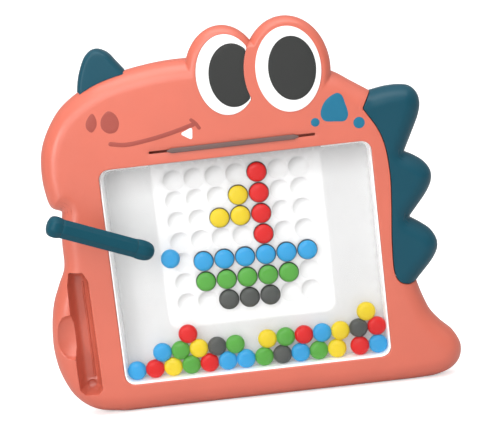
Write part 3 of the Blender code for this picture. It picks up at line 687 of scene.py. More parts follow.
MATERIALS = {
    # Coral, teal and pen carry a painted highlight on their convex edges; the coral also has painted shade in
    # its hollows.
    "coral": moulded("coral_plastic", (0.606, 0.132, 0.082), 0.34, edge_highlight=0.08, specular=0.65, hollow_shade=0.4),
    "teal": moulded("teal_plastic", (0.002, 0.060, 0.093), 0.36, edge_highlight=0.15, specular=0.28),
    "pen": moulded("pen_plastic", (0.003, 0.064, 0.096), 0.42, edge_highlight=0.15, specular=0.18),
    # The tray and the card glow as painted light so that they look brighter; the tray is also darker towards
    # its bottom as painted shade.
    "white": moulded("white_plastic", (0.92, 0.92, 0.92), 0.4, glow=0.13, toned=darker_below),
    "eye_white": moulded("eye_white_print", (0.9, 0.9, 0.9), 0.3, specular=0.3),
    "pupil": moulded("pupil_print", (0.034, 0.035, 0.034), 0.4, specular=0.2),
    "line": moulded("mouth_print", (0.33, 0.062, 0.044), 0.45),
    "spot": moulded("spot_print", (0.012, 0.150, 0.256), 0.42, specular=0.25),
    "tooth": moulded("tooth_print", (0.9, 0.9, 0.9), 0.35),
    "card": moulded("card_stock", (0.97, 0.97, 0.97), 0.55, grain=0.02, glow=0.34),
    "tab": moulded("tab_plastic", (0.142, 0.085, 0.078), 0.55),
    "window": see_through("clear_sheet", (1.0, 1.0, 1.0), 0.0, 0.06),
    # The bead plate glows a little as painted light, and has painted shade on its walls and a painted shadow
    # of the window's edges.
    "dimples": see_through("frosted_sheet", (0.99, 0.99, 0.99), 0.33, 0.25, 0.93, 0.12, 0.3, DUSK),
    "steel": brushed("plated_steel", (0.62, 0.62, 0.64), 0.3),
}
for colour, base in (
    ("red", (0.72, 0.012, 0.012)), ("yellow", (0.85, 0.64, 0.02)), ("blue", (0.035, 0.36, 0.72)),
    ("green", (0.10, 0.40, 0.055)), ("dark", (0.085, 0.09, 0.085)),
):
    bead_name = f"bead_{colour}"
    MATERIALS[bead_name] = moulded(bead_name, base, 0.3, coat=0.12, specular=0.25, toned=gap_shadow_edge)


# ---------------------------------------------------------------- coral silhouette

def inside_ellipse(shape, points):
    (x, z), (a, b) = shape
    return ((points[:, 0] - x) / a) ** 2 + ((points[:, 1] - z) / b) ** 2 < 1


def clockwise_arc(shape, start, end, step=FINE):
    """The part of an ellipse from one of its points to another, clockwise."""
    (x, z), (a, b) = shape
    first = math.atan2((start[1] - z) / b, (start[0] - x) / a)
    last = math.atan2((end[1] - z) / b, (end[0] - x) / a)
    if last > first:
        last -= 2 * math.pi
    turn = np.linspace(first, last, 200)
    return evenly(np.column_stack([x + a * np.cos(turn), z + b * np.sin(turn)]), step)


BOTTOM_EDGE = evenly(np.array([TAIL[-1], LEFT_FLANK[0]]), FINE)
HEAD_LINE = evenly(smooth_curve(HEAD), 0.2)
SEAM_LINE = evenly(smooth_curve(SPIKE_SEAM), FINE)
TAIL_LINE = evenly(smooth_curve(TAIL), FINE)
FLANK_LINE = evenly(smooth_curve(LEFT_FLANK), FINE)
SPIKE_LINES = [evenly(smooth_curve(spike), FINE) for spike in SPIKES]


def body_loop():
    """The coral body without the bumps."""
    return joined(evenly(HEAD_LINE, FINE), SEAM_LINE, TAIL_LINE, BOTTOM_EDGE, FLANK_LINE)


def coral_loop():
    """The coral silhouette with both eye bumps."""
    enters = int(np.argmax(inside_ellipse(LEFT_BUMP, HEAD_LINE)))
    leaves = len(HEAD_LINE) - int(np.argmax(inside_ellipse(RIGHT_BUMP, HEAD_LINE)[::-1]))
    right_end = np.array(LEFT_BUMP[0]) + (LEFT_BUMP[1][0], 0)
    top = clockwise_arc(LEFT_BUMP, HEAD_LINE[enters], right_end, 0.1)
    valley = top[int(np.argmax(inside_ellipse(RIGHT_BUMP, top)))]
    return joined(
        evenly(HEAD_LINE[: enters + 1], FINE),
        clockwise_arc(LEFT_BUMP, HEAD_LINE[enters], valley),
        clockwise_arc(RIGHT_BUMP, valley, HEAD_LINE[leaves]),
        evenly(HEAD_LINE[leaves:], FINE),
        SEAM_LINE, TAIL_LINE, BOTTOM_EDGE, FLANK_LINE,
    )


def roll_loops():
    """The head and the lower body, each closed far inside the other, spikes included."""
    chin, nape = evenly(smooth_curve(CHIN), FINE), evenly(smooth_curve(NAPE), FINE)
    beyond = [(FAR_RIGHT, z) for z in (117.0, -28.0, 0.0)]
    head_close = np.array([SPIKES[0][0], *beyond, (-60.0, 0.0), CHIN[-1]])
    head = joined(evenly(HEAD_LINE, FINE), head_close, chin[::-1])
    lower_close = np.array([NAPE[-1], (-60.0, 110.0), (FAR_RIGHT, 110.0), (FAR_RIGHT, -28.0), TAIL[0]])
    lower = joined(nape, lower_close, TAIL_LINE, BOTTOM_EDGE, FLANK_LINE)
    return evenly(head, FINE, closed=True), evenly(lower, FINE, closed=True)


CORAL_LOOP = coral_loop()
HEAD_ROLL_LOOP, LOWER_ROLL_LOOP = roll_loops()
BODY_LOOP = body_loop()
WINDOW_LOOP = grown_box((0, 0), WINDOW_HALF, 0, WINDOW_CORNER, 2.0)
SLOT_LOOP = grown_box(SLOT_CENTRE, SLOT_HALF, 0, 0.6, 2.0)
TROUGH_LOOP = rounded_polygon(TROUGH_CORNERS, TROUGH_CORNER, 1.0)
RIDGE_LOOPS = [grown_box(*RIDGE, grow, 0.1) for grow in (0, RIDGE_REACH)]
CUP_STEPS = [CUP_RADIUS * share for share in (0.3, 0.6, 0.85, 0.96, 1.0)]


def soft_max(a, b, width):
    """The larger of two heights, with a rounded crease of about the given width in between."""
    blend = np.clip(0.5 + 0.5 * (a - b) / width, 0, 1)
    return b + (a - b) * blend + width * blend * (1 - blend)


def side_roll(points):
    """Height of the face over the head and the lower body, before anything is cut into it."""
    head = rise(distance(HEAD_ROLL_LOOP, points), EDGE_ROLL, SIDE_TOP, FACE)
    lower = rise(distance(LOWER_ROLL_LOOP, points), EDGE_ROLL, SIDE_TOP, FACE)
    return soft_max(head, lower, 2.0)


def bumps(points, height):
    """Raise the two eye bumps over a height; the right one stands in front of the left one."""
    left_inside = distance(ellipse(LEFT_BUMP), points)
    right_inside = distance(ellipse(RIGHT_BUMP), points)
    left = rise(left_inside, BUMP_ROLL, BUMP_EDGE, LEFT_BUMP_TOP)
    height = np.where(left_inside > -STEP_GAP / 2, soft_max(height, left, 0.6), height)
    height = np.where(distance(ellipse(LEFT_EYE), points) > STEP_GAP / 2, LEFT_BUMP_TOP - EYE_RECESS, height)
    overlap = np.clip(left_inside / 5, 0, 1)
    width = BUMP_ROLL + (RING_ROLL - BUMP_ROLL) * overlap
    foot = BUMP_EDGE + (RING_FOOT - BUMP_EDGE) * overlap
    right = rise(right_inside, width, foot, RIGHT_BUMP_TOP)
    return np.where(right_inside > -STEP_GAP / 2, soft_max(height, right, 0.3), height)


def trough_drop(points):
    """How deep the pen tray is below the face."""
    inside = distance(TROUGH_LOOP, points)
    wall = rise(inside, TROUGH_WALL, 0, TROUGH_DEPTH)
    belly = TROUGH_BELLY * (1 - (1 - np.clip(inside / TROUGH_HALF, 0, 1)) ** 2)
    z = points[:, 1]
    step = TROUGH_STEP_HEIGHT * np.clip((TROUGH_STEP - z) / 0.8, 0, 1)
    from_cup = np.linalg.norm(points - CUP_CENTRE, axis=1) / CUP_RADIUS
    cup = CUP_DEPTH * np.sqrt(1 - np.clip(from_cup, 0, 1) ** 2)
    ridge = RIDGE_HEIGHT * np.clip(1 + distance(RIDGE_LOOPS[0], points) / RIDGE_REACH, 0, 1)
    return np.where(inside > 0, np.maximum(wall + belly + cup - step - ridge, 0), fillet(-inside, 0.7))


def notch_drop(points):
    x, z = (points - NOTCH_CENTRE).T
    reach = 1 - (x / NOTCH_HALF[0]) ** 2 - (z / NOTCH_HALF[2]) ** 2
    return NOTCH_HALF[1] * np.sqrt(np.clip(reach, 0, 1))


def face_height(points):
    """Depth of the front housing's outer face."""
    height = bumps(points, side_roll(points))
    carved = np.minimum(height, FACE - trough_drop(points))
    scoop = FACE - notch_drop(points)
    carved = np.where(scoop < FACE, -soft_max(-carved, -scoop, 0.5), carved)
    carved -= fillet(-distance(WINDOW_LOOP, points), WINDOW_FILLET)
    carved -= fillet(-distance(SLOT_LOOP, points), 0.5)
    within = distance(ellipse(RIGHT_EYE), points)
    carved = np.where(within > STEP_GAP / 2, RIGHT_BUMP_TOP - EYE_RECESS, carved)
    seam = distance(BODY_LOOP, points)
    beside_spikes = (points[:, 0] > 96) & (points[:, 1] > -31) & (points[:, 1] < 116)
    carved = np.where(beside_spikes, carved - fillet(seam, SEAM_ROLL), carved)
    return np.maximum(carved, SIDE_TOP)


def roll_steps(loop, width):
    """Loops that follow an outline inwards, spaced evenly round the rolled edge."""
    angles = [math.radians(a) for a in (13, 26, 39, 52, 66)]
    return [inset(loop, width * (1 - math.cos(a))) for a in angles]


def near_features(points):
    """Where the front housing needs its fine mesh."""
    x, z = points.T
    outline = distance(CORAL_LOOP, points)
    window = np.abs(distance(WINDOW_LOOP, points))
    tray = (x < -104) & (z < 20)
    return (outline < EDGE_ROLL + 3) | (window < 2.5) | tray | near_creases(points)


def near_creases(points):
    return np.any([(np.abs(points - centre) < half).all(axis=1) for centre, half in CREASES], axis=0)


def front_housing():
    recesses = [ellipse(eye, FINEST, grow) for eye in (LEFT_EYE, RIGHT_EYE) for grow in (0, -STEP_GAP)]
    rims = [ellipse(LEFT_BUMP, FINEST, -d) for d in (-STEP_GAP, 0, 0.4, 1.2, 2.4, 4, 5.6, 7, 8)]
    rims += [ellipse(RIGHT_BUMP, FINEST, -d) for d in (-STEP_GAP, 0, 0.15, 0.5, 1.1, 1.8, 2.6, 3.6, 5, 7)]
    trough = [TROUGH_LOOP] + [inset(TROUGH_LOOP, d) for d in (0.25, 0.9, 2.0)]
    trough += [evenly(grown_loop(TROUGH_LOOP, d), 1.2, closed=True) for d in (0.35, 0.75)]
    trough += RIDGE_LOOPS + [ellipse((CUP_CENTRE, (r, r)), FINEST) for r in CUP_STEPS]
    window = [grown_box((0, 0), WINDOW_HALF, d, WINDOW_CORNER, 2.0) for d in (0.2, 0.5, 0.85)]
    features = roll_steps(CORAL_LOOP, EDGE_ROLL) + recesses + rims + trough + window
    levels = ((near_features, FINE), (near_creases, FINEST))
    plane = region(CORAL_LOOP, [WINDOW_LOOP, SLOT_LOOP], features, levels)

    points = plane[0]
    outside = face_height(points)
    wall = np.minimum(bumps(points, side_roll(points)), FACE - trough_drop(points)) - WALL
    rim = np.clip((distance(CORAL_LOOP, points) - WALL) / 1.5, 0, 1)
    inside = np.minimum(np.maximum(SEAM + (wall - SEAM) * rim, SEAM), outside - 0.5)
    finish(shell("front_shell", plane, outside, inside), "coral", "front_housing")


def back_cover():
    screws = [tuple(c[::2]) for c in screw_places()]
    holes = [ellipse((at, (PILOT_RADIUS, PILOT_RADIUS)), 0.6) for at in screws]
    bosses = [(at, (RECESS_RADIUS + WALL, RECESS_RADIUS + WALL)) for at in screws]
    features = [inset(CORAL_LOOP, d) for d in (0.15, 0.6, 1.3, WALL, WALL + STEP, 3.2)]
    for at, boss in zip(screws, bosses):
        features += [ellipse(boss, 0.8), ellipse(boss, 0.8, -STEP)]
        features += [ellipse((at, (RECESS_RADIUS, RECESS_RADIUS)), 0.8, grow) for grow in (STEP, 0)]
    plane = region(CORAL_LOOP, holes, features, [(lambda p: distance(CORAL_LOOP, p) < 4, FINE)])
    points = plane[0]
    edge = distance(CORAL_LOOP, points)
    raised = edge < WALL + STEP / 2
    sunk = np.zeros(len(points), bool)
    for at in screws:
        away = np.linalg.norm(points - at, axis=1)
        raised |= away < RECESS_RADIUS + WALL - STEP / 2
        sunk |= away < RECESS_RADIUS + STEP / 2
    front = np.where(raised, SEAM - GAP, WALL)
    back = np.where(sunk, RECESS_DEPTH, fillet(edge, 2.5))
    finish(shell("back_shell", plane, front, back), "coral", "back_cover")


def screw_places():
    """The middle of each screw head, in millimetres."""
    for k in range(SCREW_COUNT):
        low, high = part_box(f"cover_screw_{k + 1}")
        yield tuple((a + b) / 2 / MM for a, b in zip(low, high))


def cover_screws():
    """Pan-head screws with a cross recess, seen from the back."""
    for k, (x, _, z) in enumerate(screw_places()):
        centre = np.array((x, z))
        arm, slim = CROSS
        corner = np.array([(arm, slim), (slim, slim), (slim, arm)])
        cross = np.vstack([corner, corner[::-1] * (-1, 1), -corner, corner[::-1] * (1, -1)])
        recess = [centre + cross * share for share in (1.0, 0.93)]
        rings = [ellipse((centre, (r, r)), 0.35) for r in (2.5, 2.2, 1.10, 1.05, 0.5)]
        outline = ellipse((centre, (SCREW_HEAD, SCREW_HEAD)), 0.35)
        plane = region(outline, (), recess + rings, coarse=0.5)
        away = plane[0] - centre
        radius = np.linalg.norm(away, axis=1)
        across = np.abs(away) + 0.01
        inside = across < np.array((arm, slim)) * 0.95
        in_cross = inside.all(axis=1) | (across[:, ::-1] < np.array((arm, slim)) * 0.95).all(axis=1)
        head = 0.6 + 0.9 * np.clip(radius / SCREW_HEAD, 0, 1) ** 4
        back = np.where(in_cross, 1.5, head)
        front = np.where(radius < 1.07, 16.5 - 1.6 * np.clip(radius, 0, 1), 2.2)
        piece = shell(f"screw_{k + 1}", plane, front, back)
        finish(piece, "steel", f"cover_screw_{k + 1}", sharp=25)


# ---------------------------------------------------------------- horn and spikes

def stretch(loop, start, end):
    """The part of a closed loop from the point nearest to start, onwards to the one nearest to end."""
    first = int(np.argmin(np.linalg.norm(loop - start, axis=1)))
    last = int(np.argmin(np.linalg.norm(loop - end, axis=1)))
    return np.roll(loop, -first, axis=0)[: (last - first) % len(loop) + 1]


def attached(outer):
    """Close an outer line along the coral body, with a hairline gap to it."""
    body = grown_loop(BODY_LOOP, SEAM_GAP)
    outer = outer[distance(BODY_LOOP, outer) < -SEAM_GAP]
    edge = stretch(body, outer[-1], outer[0])
    if len(edge) > len(body) / 2:
        edge = stretch(body, outer[0], outer[-1])[::-1]
    near = np.linalg.norm(edge[[0, -1]] - outer[[-1, 0]], axis=1) < 0.5
    edge = edge[1 if near[0] else 0 : -1 if near[1] else None]
    return counter_clockwise(np.vstack([outer, edge]))


def fin(name, loop, outer, base, node, edge, front, width, under=None, seam=()):
    """A teal fin with a rolled edge outside and a tight one along the body.

    Under, if it is given, is the height of the body below the part that laps over it; seam holds the loop
    there.
    """
    roll_loop = evenly(counter_clockwise(np.vstack([outer, base])), FINE, closed=True)
    features = [inset(loop, d) for d in (0.12, 0.35, 0.8)]
    features += seam or [inset(loop, width * share) for share in (0.15, 0.3, 0.5)]
    levels = [(lambda p: distance(roll_loop, p) < width + 2, FINE)]
    plane = region(loop, (), features, levels)
    points = plane[0]
    own, wide = distance(loop, points), distance(roll_loop, points)
    height = rise(wide, width, edge, front)
    beside_body = own < wide - 0.2
    height = np.where(beside_body, height - fillet(own, TEAL_SEAM_ROLL), height)
    back = TEAL_BACK + fillet(own, TEAL_BACK_ROLL)
    if under is not None:
        back = np.where(distance(BODY_LOOP, points) > -SEAM_GAP / 2, under(points), back)
    height = np.maximum(height, np.maximum(edge, back) + 0.1)
    finish(shell(name, plane, height, back), "teal", node)


def over_head(points):
    """Just above the rolled edge of the head."""
    return side_roll(points) + SKIN_GAP


def horn_and_spikes():
    horn = evenly(smooth_curve(HORN), FINE)
    within = stretch(BODY_LOOP + inward(BODY_LOOP) * HORN_LAP, horn[-1], horn[0])
    loop = counter_clockwise(np.vstack([horn, within[1:-1]]))
    outside = stretch(BODY_LOOP - inward(BODY_LOOP) * SEAM_GAP, horn[-1], horn[0])[1:-1]
    seam = np.vstack([outside, stretch(BODY_LOOP, horn[-1], horn[0])[1:-1][::-1]])
    seam = seam[distance(loop, seam) > 0.9]
    fin("horn", loop, horn, np.array(HORN_BASE), "nose_horn", 8, 17, 4, over_head, [seam])
    spikes = np.vstack([line[:-1] for line in SPIKE_LINES] + [SPIKE_LINES[-1][-1:]])
    fin("spikes", attached(spikes), spikes, np.array(SPIKE_BASE), "back_spikes", 9, 23.2, 13)


# ---------------------------------------------------------------- eyes and prints on the face

def cut_by(loop, shape, grow):
    """A loop with the part inside an ellipse replaced by the ellipse's own edge."""
    (x, z), (a, b) = shape
    bigger = ((x, z), (a + grow, b + grow))
    inside = inside_ellipse(bigger, loop)
    if not inside.any():
        return loop
    last = int(np.flatnonzero(inside & ~np.roll(inside, -1))[0])
    kept = np.roll(loop, -(last + 1), axis=0)[: int((~inside).sum())]
    arc = clockwise_arc(bigger, kept[-1], kept[0])
    return np.vstack([kept, arc[1:-1]])


def inlay(name, loop, back, front, material, node=None, edge=0.25):
    plane = region(loop, (), [inset(loop, edge * share) for share in (0.4, 1.0)])
    height = front - fillet(distance(loop, plane[0]), edge)
    finish(shell(name, plane, height, back), material, node)


def eyes():
    for side, bump_top, eye, pupil, cut in (
        ("left", LEFT_BUMP_TOP, LEFT_EYE, LEFT_PUPIL, cut_by),
        ("right", RIGHT_BUMP_TOP, RIGHT_EYE, RIGHT_PUPIL, lambda loop, *_: loop),
    ):
        front = bump_top - EYE_INLAY_STEP
        white = cut(ellipse(eye, grow=-0.18), RIGHT_BUMP, 0.16)
        inlay(f"eye_{side}", white, front - 0.6, front, "eye_white", f"eye_inlay_{side}")
        dark = cut(ellipse(pupil), RIGHT_BUMP, 0.2)
        inlay(f"pupil_{side}", dark, front - 0.3, front + PRINT, "pupil", edge=PRINT_EDGE)


def stroke(points, width, step=0.8):
    """The outline of a line with round ends."""
    middle = evenly(smooth_curve(points), step)
    tangent = np.gradient(middle, axis=0)
    tangent /= np.linalg.norm(tangent, axis=1)[:, None]
    across = np.column_stack([-tangent[:, 1], tangent[:, 0]]) * width / 2
    caps = []
    for at, out in ((middle[-1], tangent[-1]), (middle[0], -tangent[0])):
        side = np.array((out[1], -out[0]))
        turns = np.linspace(0, math.pi, 9)[1:-1]
        caps.append(np.array([at + (side * -math.cos(t) + out * math.sin(t)) * width / 2 for t in turns]))
    return counter_clockwise(np.vstack([middle + across, caps[0], (middle - across)[::-1], caps[1]]))


def face_print(name, loop, material, lift=PRINT):
    inlay(name, loop, FACE - 0.3, FACE + lift, material, edge=PRINT_EDGE)


def face_prints():
    face_print("nostril_left", closed_curve(LEFT_NOSTRIL), "line")
    face_print("nostril_right", closed_curve(RIGHT_NOSTRIL), "line")
    face_print("smile", stroke(SMILE, SMILE_WIDTH), "line")
    face_print("smile_end", stroke(SMILE_END, SMILE_WIDTH * 0.8), "line", PRINT * 1.5)
    face_print("tooth", rounded_polygon(TOOTH, TOOTH_CORNER), "tooth", PRINT * 2)
    face_print("cheek_spot_large", closed_curve(LARGE_SPOT), "spot")
    face_print("cheek_spot_left", ellipse(LEFT_SPOT, 0.5), "spot")
    face_print("cheek_spot_right", ellipse(RIGHT_SPOT, 0.5), "spot")


# ---------------------------------------------------------------- window, tray, dimple plate and card

def cad_box_of(node):
    """The two far corners of a CAD node's box."""
    return (np.array(corner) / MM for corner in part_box(node))


def chamber_tray():
    """The white tray: a rounded rim, drafted walls with a soft foot, and a pocket for the card."""
    low, high = cad_box_of("chamber_tray")
    outer = grown_box((0, 0), high[::2], 0, WINDOW_CORNER, 2.0)
    inner = high[::2] - TRAY_WALL
    offsets = (LIP_WIDTH + STEP, LIP_WIDTH, LIP_WIDTH - LIP_ROUND, LIP_ROUND, 0.1, 0.0)
    offsets += tuple(-WALL_DRAFT * share for share in (0.33, 0.67, 1.0, 1.6, 2.4, 3.2))
    features = [grown_box((0, 0), inner, d, WINDOW_CORNER - 1, 2.0) for d in offsets]
    pocket_centre = (0, (POCKET_BOTTOM + high[2]) / 2 + 2)
    pocket_half = (POCKET_HALF, (high[2] - POCKET_BOTTOM) / 2 + 2)
    pockets = [grown_box(pocket_centre, pocket_half, d, 4, 2.0) for d in (0, -STEP)]
    pockets = [loop[distance(outer, loop) > 0.4] for loop in pockets]
    plane = region(outer, (), features + pockets)
    points = plane[0]
    room = distance(features[offsets.index(0.0)], points)
    sink = LIP_SINK * np.clip((points[:, 1] - SINK_ZONE[0]) / SINK_ZONE[1], 0, 1)
    lip = LIP_FRONT - sink - fillet(-room, 0.3) - fillet(LIP_WIDTH + room, LIP_ROUND)
    top = np.where(room > -LIP_WIDTH - STEP / 2, lip, -low[1])
    foot_top = TRAY_FLOOR + FOOT
    foot = foot_top - rise(room - WALL_DRAFT, FOOT, 0, FOOT)
    wall = foot_top + (top - foot_top) * np.clip(1 - room / WALL_DRAFT, 0, 1)
    height = np.where(room <= 0, top, np.where(room < WALL_DRAFT, wall, foot))
    in_pocket = distance(grown_box(pocket_centre, pocket_half, -STEP / 2, 4, 2.0), points) > 0
    height = np.where(in_pocket, POCKET_BACK, height)
    finish(shell("tray", plane, height, -high[1]), "white", "chamber_tray")


def grid_places():
    for row in range(GRID_SIZE):
        for column in range(GRID_SIZE):
            x = GRID_CENTRE[0] + (column - GRID_SIZE // 2) * GRID_PITCH
            yield np.array((x, GRID_CENTRE[1] - (row - GRID_SIZE // 2) * GRID_PITCH))


def dimple_plate():
    low, high = cad_box_of("dimple_plate")
    outer = grown_box((0, 0), high[::2], PLATE_GROWTH, WINDOW_CORNER - 1, 2.0)
    features = [inset(outer, 0.4)]
    for at in grid_places():
        features += [ellipse((at, (r, r)), 1.2) for r in DIMPLE_RINGS]
    plane = region(outer, (), features, coarse=5.0)
    points = plane[0]
    from_centre = np.min([np.linalg.norm(points - at, axis=1) for at in grid_places()], axis=0)
    bowl = DIMPLE_DEPTH * (1 - np.clip(from_centre / DIMPLE_RADIUS, 0, 1) ** DIMPLE_POWER)
    height = -low[1] - bowl - fillet(distance(outer, points), 0.4)
    finish(shell("bead_plate", plane, height, -high[1]), "dimples", "dimple_plate", sharp=60)


def flat_sheet(name, node, corner, material, body, edge, smaller=(0, 0), longer=0):
    """A thin sheet over a CAD one; longer adds to its top, which is hidden by the housing."""
    low, high = cad_box_of(node)
    growth = np.array((0, longer / 2))
    centre, half = (low + high)[::2] / 2 + growth, (high - low)[::2] / 2 - smaller + growth
    outer = grown_box(centre, half, 0, corner, 1.5)
    plane = region(outer, (), [inset(outer, edge * share) for share in (0.4, 1.0)], coarse=8)
    height = -low[1] - fillet(distance(outer, plane[0]), edge)
    finish(shell(name, plane, height, -high[1]), material, node, body)


def plate(name, loop, front, back, insets):
    """A flat piece whose edges are rounded on both sides, over the larger of the insets."""
    plane = region(loop, (), [inset(loop, d) for d in insets], coarse=3)
    round_edge = fillet(distance(loop, plane[0]), insets[-1])
    return shell(name, plane, front - round_edge, back + round_edge)


def card_tab():
    """A strip that slopes from the slot down to the card, with a tapered bar to hold in front of the slot."""
    front, back = np.array(TAB_FRONT), np.array(TAB_BACK)
    length = np.linalg.norm(front - back)
    side, narrow = TAB_WIDTH / 2, TAB_WIDTH / 2 - TAB_TAPER
    loop = rounded_polygon([(-side, 0), (side, 0), (narrow, length), (-narrow, length)], 1.0, 0.8)
    strip = plate("tab", loop, TAB_THICKNESS / 2, -TAB_THICKNESS / 2, (0.15, 0.4))
    ahead = (front - back) / length
    rotation = Matrix(((1, 0, 0), (0, ahead[1], -ahead[0]), (0, ahead[0], ahead[1]))).to_4x4()
    strip.data.transform(Matrix.Translation(Vector((0, -back[0], back[1])) * MM) @ rotation)
    bar = plate("bar", rounded_polygon(BAR_CORNERS, 0.8, 0.5), BAR_FRONT, BAR_BACK, (0.12, 0.35))
    union = strip.modifiers.new("bar", "BOOLEAN")
    union.operation = "UNION"
    union.object = bar
    whole = strip.evaluated_get(bpy.context.evaluated_depsgraph_get())
    strip.data = bpy.data.meshes.new_from_object(whole)
    strip.modifiers.clear()
    bpy.data.objects.remove(bar, do_unlink=True)
    finish(strip, "tab", "card_tab", "card_tab")


# ---------------------------------------------------------------- turned pieces: beads and pen

def turned(name, profile, sides, section=None, ring=False):
    """A solid turned about local Z from (radius, height) pairs; section(angle, height) scales the radius."""
    section = section or (lambda angle, height: 1.0)
    vertices, rings = [], []
    for radius, height in profile:
        if radius == 0:
            vertices.append((0, 0, height))
            rings.append([len(vertices) - 1] * sides)
            continue
        start = len(vertices)
        for k in range(sides):
            turn = 2 * math.pi * k / sides
            reach = radius * section(turn, height)
            vertices.append((reach * math.cos(turn), reach * math.sin(turn), height))
        rings.append(list(range(start, start + sides)))
    faces = []
    pairs = list(zip(rings, rings[1:])) + ([(rings[-1], rings[0])] if ring else [])
    for a, b in pairs:
        for k in range(sides):
            n = (k + 1) % sides
            corners = (a[k], a[n], b[n], b[k])
            faces.append(tuple(dict.fromkeys(corners)))
    return make_mesh(name, vertices, faces)


def bead_profile(radius):
    """Half of a flattened ball with a full edge, from back to front."""
    out = [(0, -BEAD_HALF)]
    for k in range(1, BEAD_STEPS):
        turn = math.pi * (k / BEAD_STEPS - 0.5)
        height = math.copysign(abs(math.sin(turn)) ** 0.95, turn)
        out.append((radius * math.cos(turn) ** 0.6, BEAD_HALF * height))
    return out + [(0, BEAD_HALF)]


def bead(name, colour_name, centre, body, node, lean, draw, seated=False):
    """One bead, its axis across the board and leaning a little; a seated one has a dark outer edge, a painted
    shadow of the gap round it in its dimple.
    """
    tilt = [draw.uniform(-lean, lean) for _ in range(2)]
    radius = BEAD_RADIUS if seated else LOOSE_BEAD_RADIUS
    piece = turned(name, bead_profile(radius), BEAD_SIDES)
    if seated:
        # Mark the outer edge of a seated bead for the painted shadow of the gap round it.
        edge = piece.data.attributes.new("edge", "FLOAT", "POINT")
        reach = [math.hypot(v.co.x, v.co.y) / (radius * MM) for v in piece.data.vertices]
        edge.data.foreach_set("value", [float(r > BEAD_EDGE) for r in reach])
    rotation = Matrix.Rotation(math.pi / 2 + tilt[0], 4, "X") @ Matrix.Rotation(tilt[1], 4, "Y")
    piece.data.transform(Matrix.Translation(Vector(centre) * MM) @ rotation)
    finish(piece, f"bead_{colour_name}", node, body, sharp=80)


def centre_of(node):
    low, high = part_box(node)
    return tuple((a + b) / 2 / MM for a, b in zip(low, high))


def beads():
    draw = random.Random(SEED)
    body_of = {node: body for body, nodes in frame["record"]["behaviour"]["bodies"].items() for node in nodes}
    for node in sorted(n for n in frame["nodes"] if n.startswith("bead_")):
        seated = "row" in node
        x, y, z = centre_of(node)
        if "loose" in node:
            y -= BEAD_STAGGER * (int(node[10:12]) % 2)
        name, colour = node.replace("bead_", "marble_"), node.rsplit("_", 1)[1]
        lean = SEATED_LEAN if seated else LOOSE_LEAN
        bead(name, colour, (x, y, z), body_of[node], node, lean, draw, seated)
    _, depth, z = centre_of("bead_loose01_blue")
    last = len(FLOOR_COLOURS) - 1
    for k, letter in enumerate(FLOOR_COLOURS):
        if k in FLOOR_IN_MODEL:
            continue
        from_left = FLOOR_ENDS[0] + FLOOR_PITCH * k
        x = from_left if k < FLOOR_BEFORE_GAP else FLOOR_ENDS[1] - FLOOR_PITCH * (last - k)
        centre = (x, depth - BEAD_STAGGER * (k % 2), z)
        colour = COLOUR_NAMES[letter]
        bead(f"marble_floor{k + 1:02d}_{colour}", colour, centre, "root", None, FLOOR_LEAN, draw)


def eight_sided(angle, height):
    """Scales a circle towards an octagon with soft corners."""
    part = (angle + math.pi / 8) % (math.pi / 4) - math.pi / 8
    flat = math.cos(math.pi / 8) / math.cos(part)
    return 1 + flat - OCTAGON_SHIFT


def pen():
    """Barrel and two caps, turned along the pen's own axis and laid along the CAD pen."""
    tip, end = pen_ends()
    length = (end - tip).length / MM
    cap_start = length - END_CAP_LENGTH
    place = Matrix.Translation(tip) @ (end - tip).to_track_quat("Z", "Y").to_matrix().to_4x4()
    outer, inner = PEN_RADIUS, PEN_RADIUS - PEN_WALL
    low, high = TIP_CAP_LENGTH + PEN_GAP, cap_start - PEN_GAP
    barrel = [(outer - PEN_GAP, low), (outer, low + PEN_GAP)]
    barrel += [(outer, t) for t in np.linspace(low + 1.5, high - 1.5, 30)]
    barrel += [(outer, high - PEN_GAP), (outer - PEN_GAP, high), (inner, high), (inner, low)]

    tip_cap = [(0, 0.0)] + [(r, t) for r, t in smooth_curve(TIP_PROFILE, 8) if r > 0.01]
    tip_cap += [(PEN_PLUG, TIP_CAP_LENGTH), (PEN_PLUG, TIP_CAP_LENGTH + PLUG_LENGTH)]
    tip_cap += [(0, TIP_CAP_LENGTH + PLUG_LENGTH)]

    dome = smooth_curve([(r, cap_start + t) for r, t in END_PROFILE], 8)
    end_cap = [(0, cap_start - PLUG_LENGTH), (PEN_PLUG, cap_start - PLUG_LENGTH), (PEN_PLUG, cap_start)]
    end_cap += [(r, t) for r, t in dome if r > 0.01] + [(0, length)]
    for name, node, profile, section, ring in (
        ("pen_body", "pen_barrel", barrel, eight_sided, True),
        ("pen_tip", "pen_tip_cap", tip_cap, fading_sides(0, TIP_CAP_LENGTH), False),
        ("pen_end", "pen_end_cap", end_cap, fading_sides(length, cap_start), False),
    ):
        piece = turned(name, profile, 96, section, ring)
        piece.data.transform(place)
        finish(piece, "pen", node, "pen", sharp=50)
    magnet = frame["nodes"]["pen_magnet"]
    magnet.data.materials.clear()
    magnet.data.materials.append(MATERIALS["steel"])


def fading_sides(end, start):
    """A cap's section, which keeps the barrel's eight sides at its start and is round at its end."""
    def section(angle, height):
        share = min(max((height - end) / (start - end), 0), 1)
        return 1 + share**0.25 * (eight_sided(angle, height) - 1)
    return section


def pen_ends():
    """The tip and the far end of the CAD pen, in metres."""
    caps = [frame["nodes"][node].data.vertices for node in ("pen_tip_cap", "pen_end_cap")]
    cloud = np.array([tuple(v.co) for cap in caps for v in cap])
    middle = cloud.mean(0)
    axis = np.linalg.svd(cloud - middle, full_matrices=False)[2][0]
    if axis[0] > 0:
        axis = -axis
    along = (cloud - middle) @ axis
    tip_ring = cloud[along < along.min() + 1e-5].mean(0)
    end_ring = cloud[along > along.max() - 1e-5].mean(0)
    return Vector(tip_ring), Vector(end_ring)


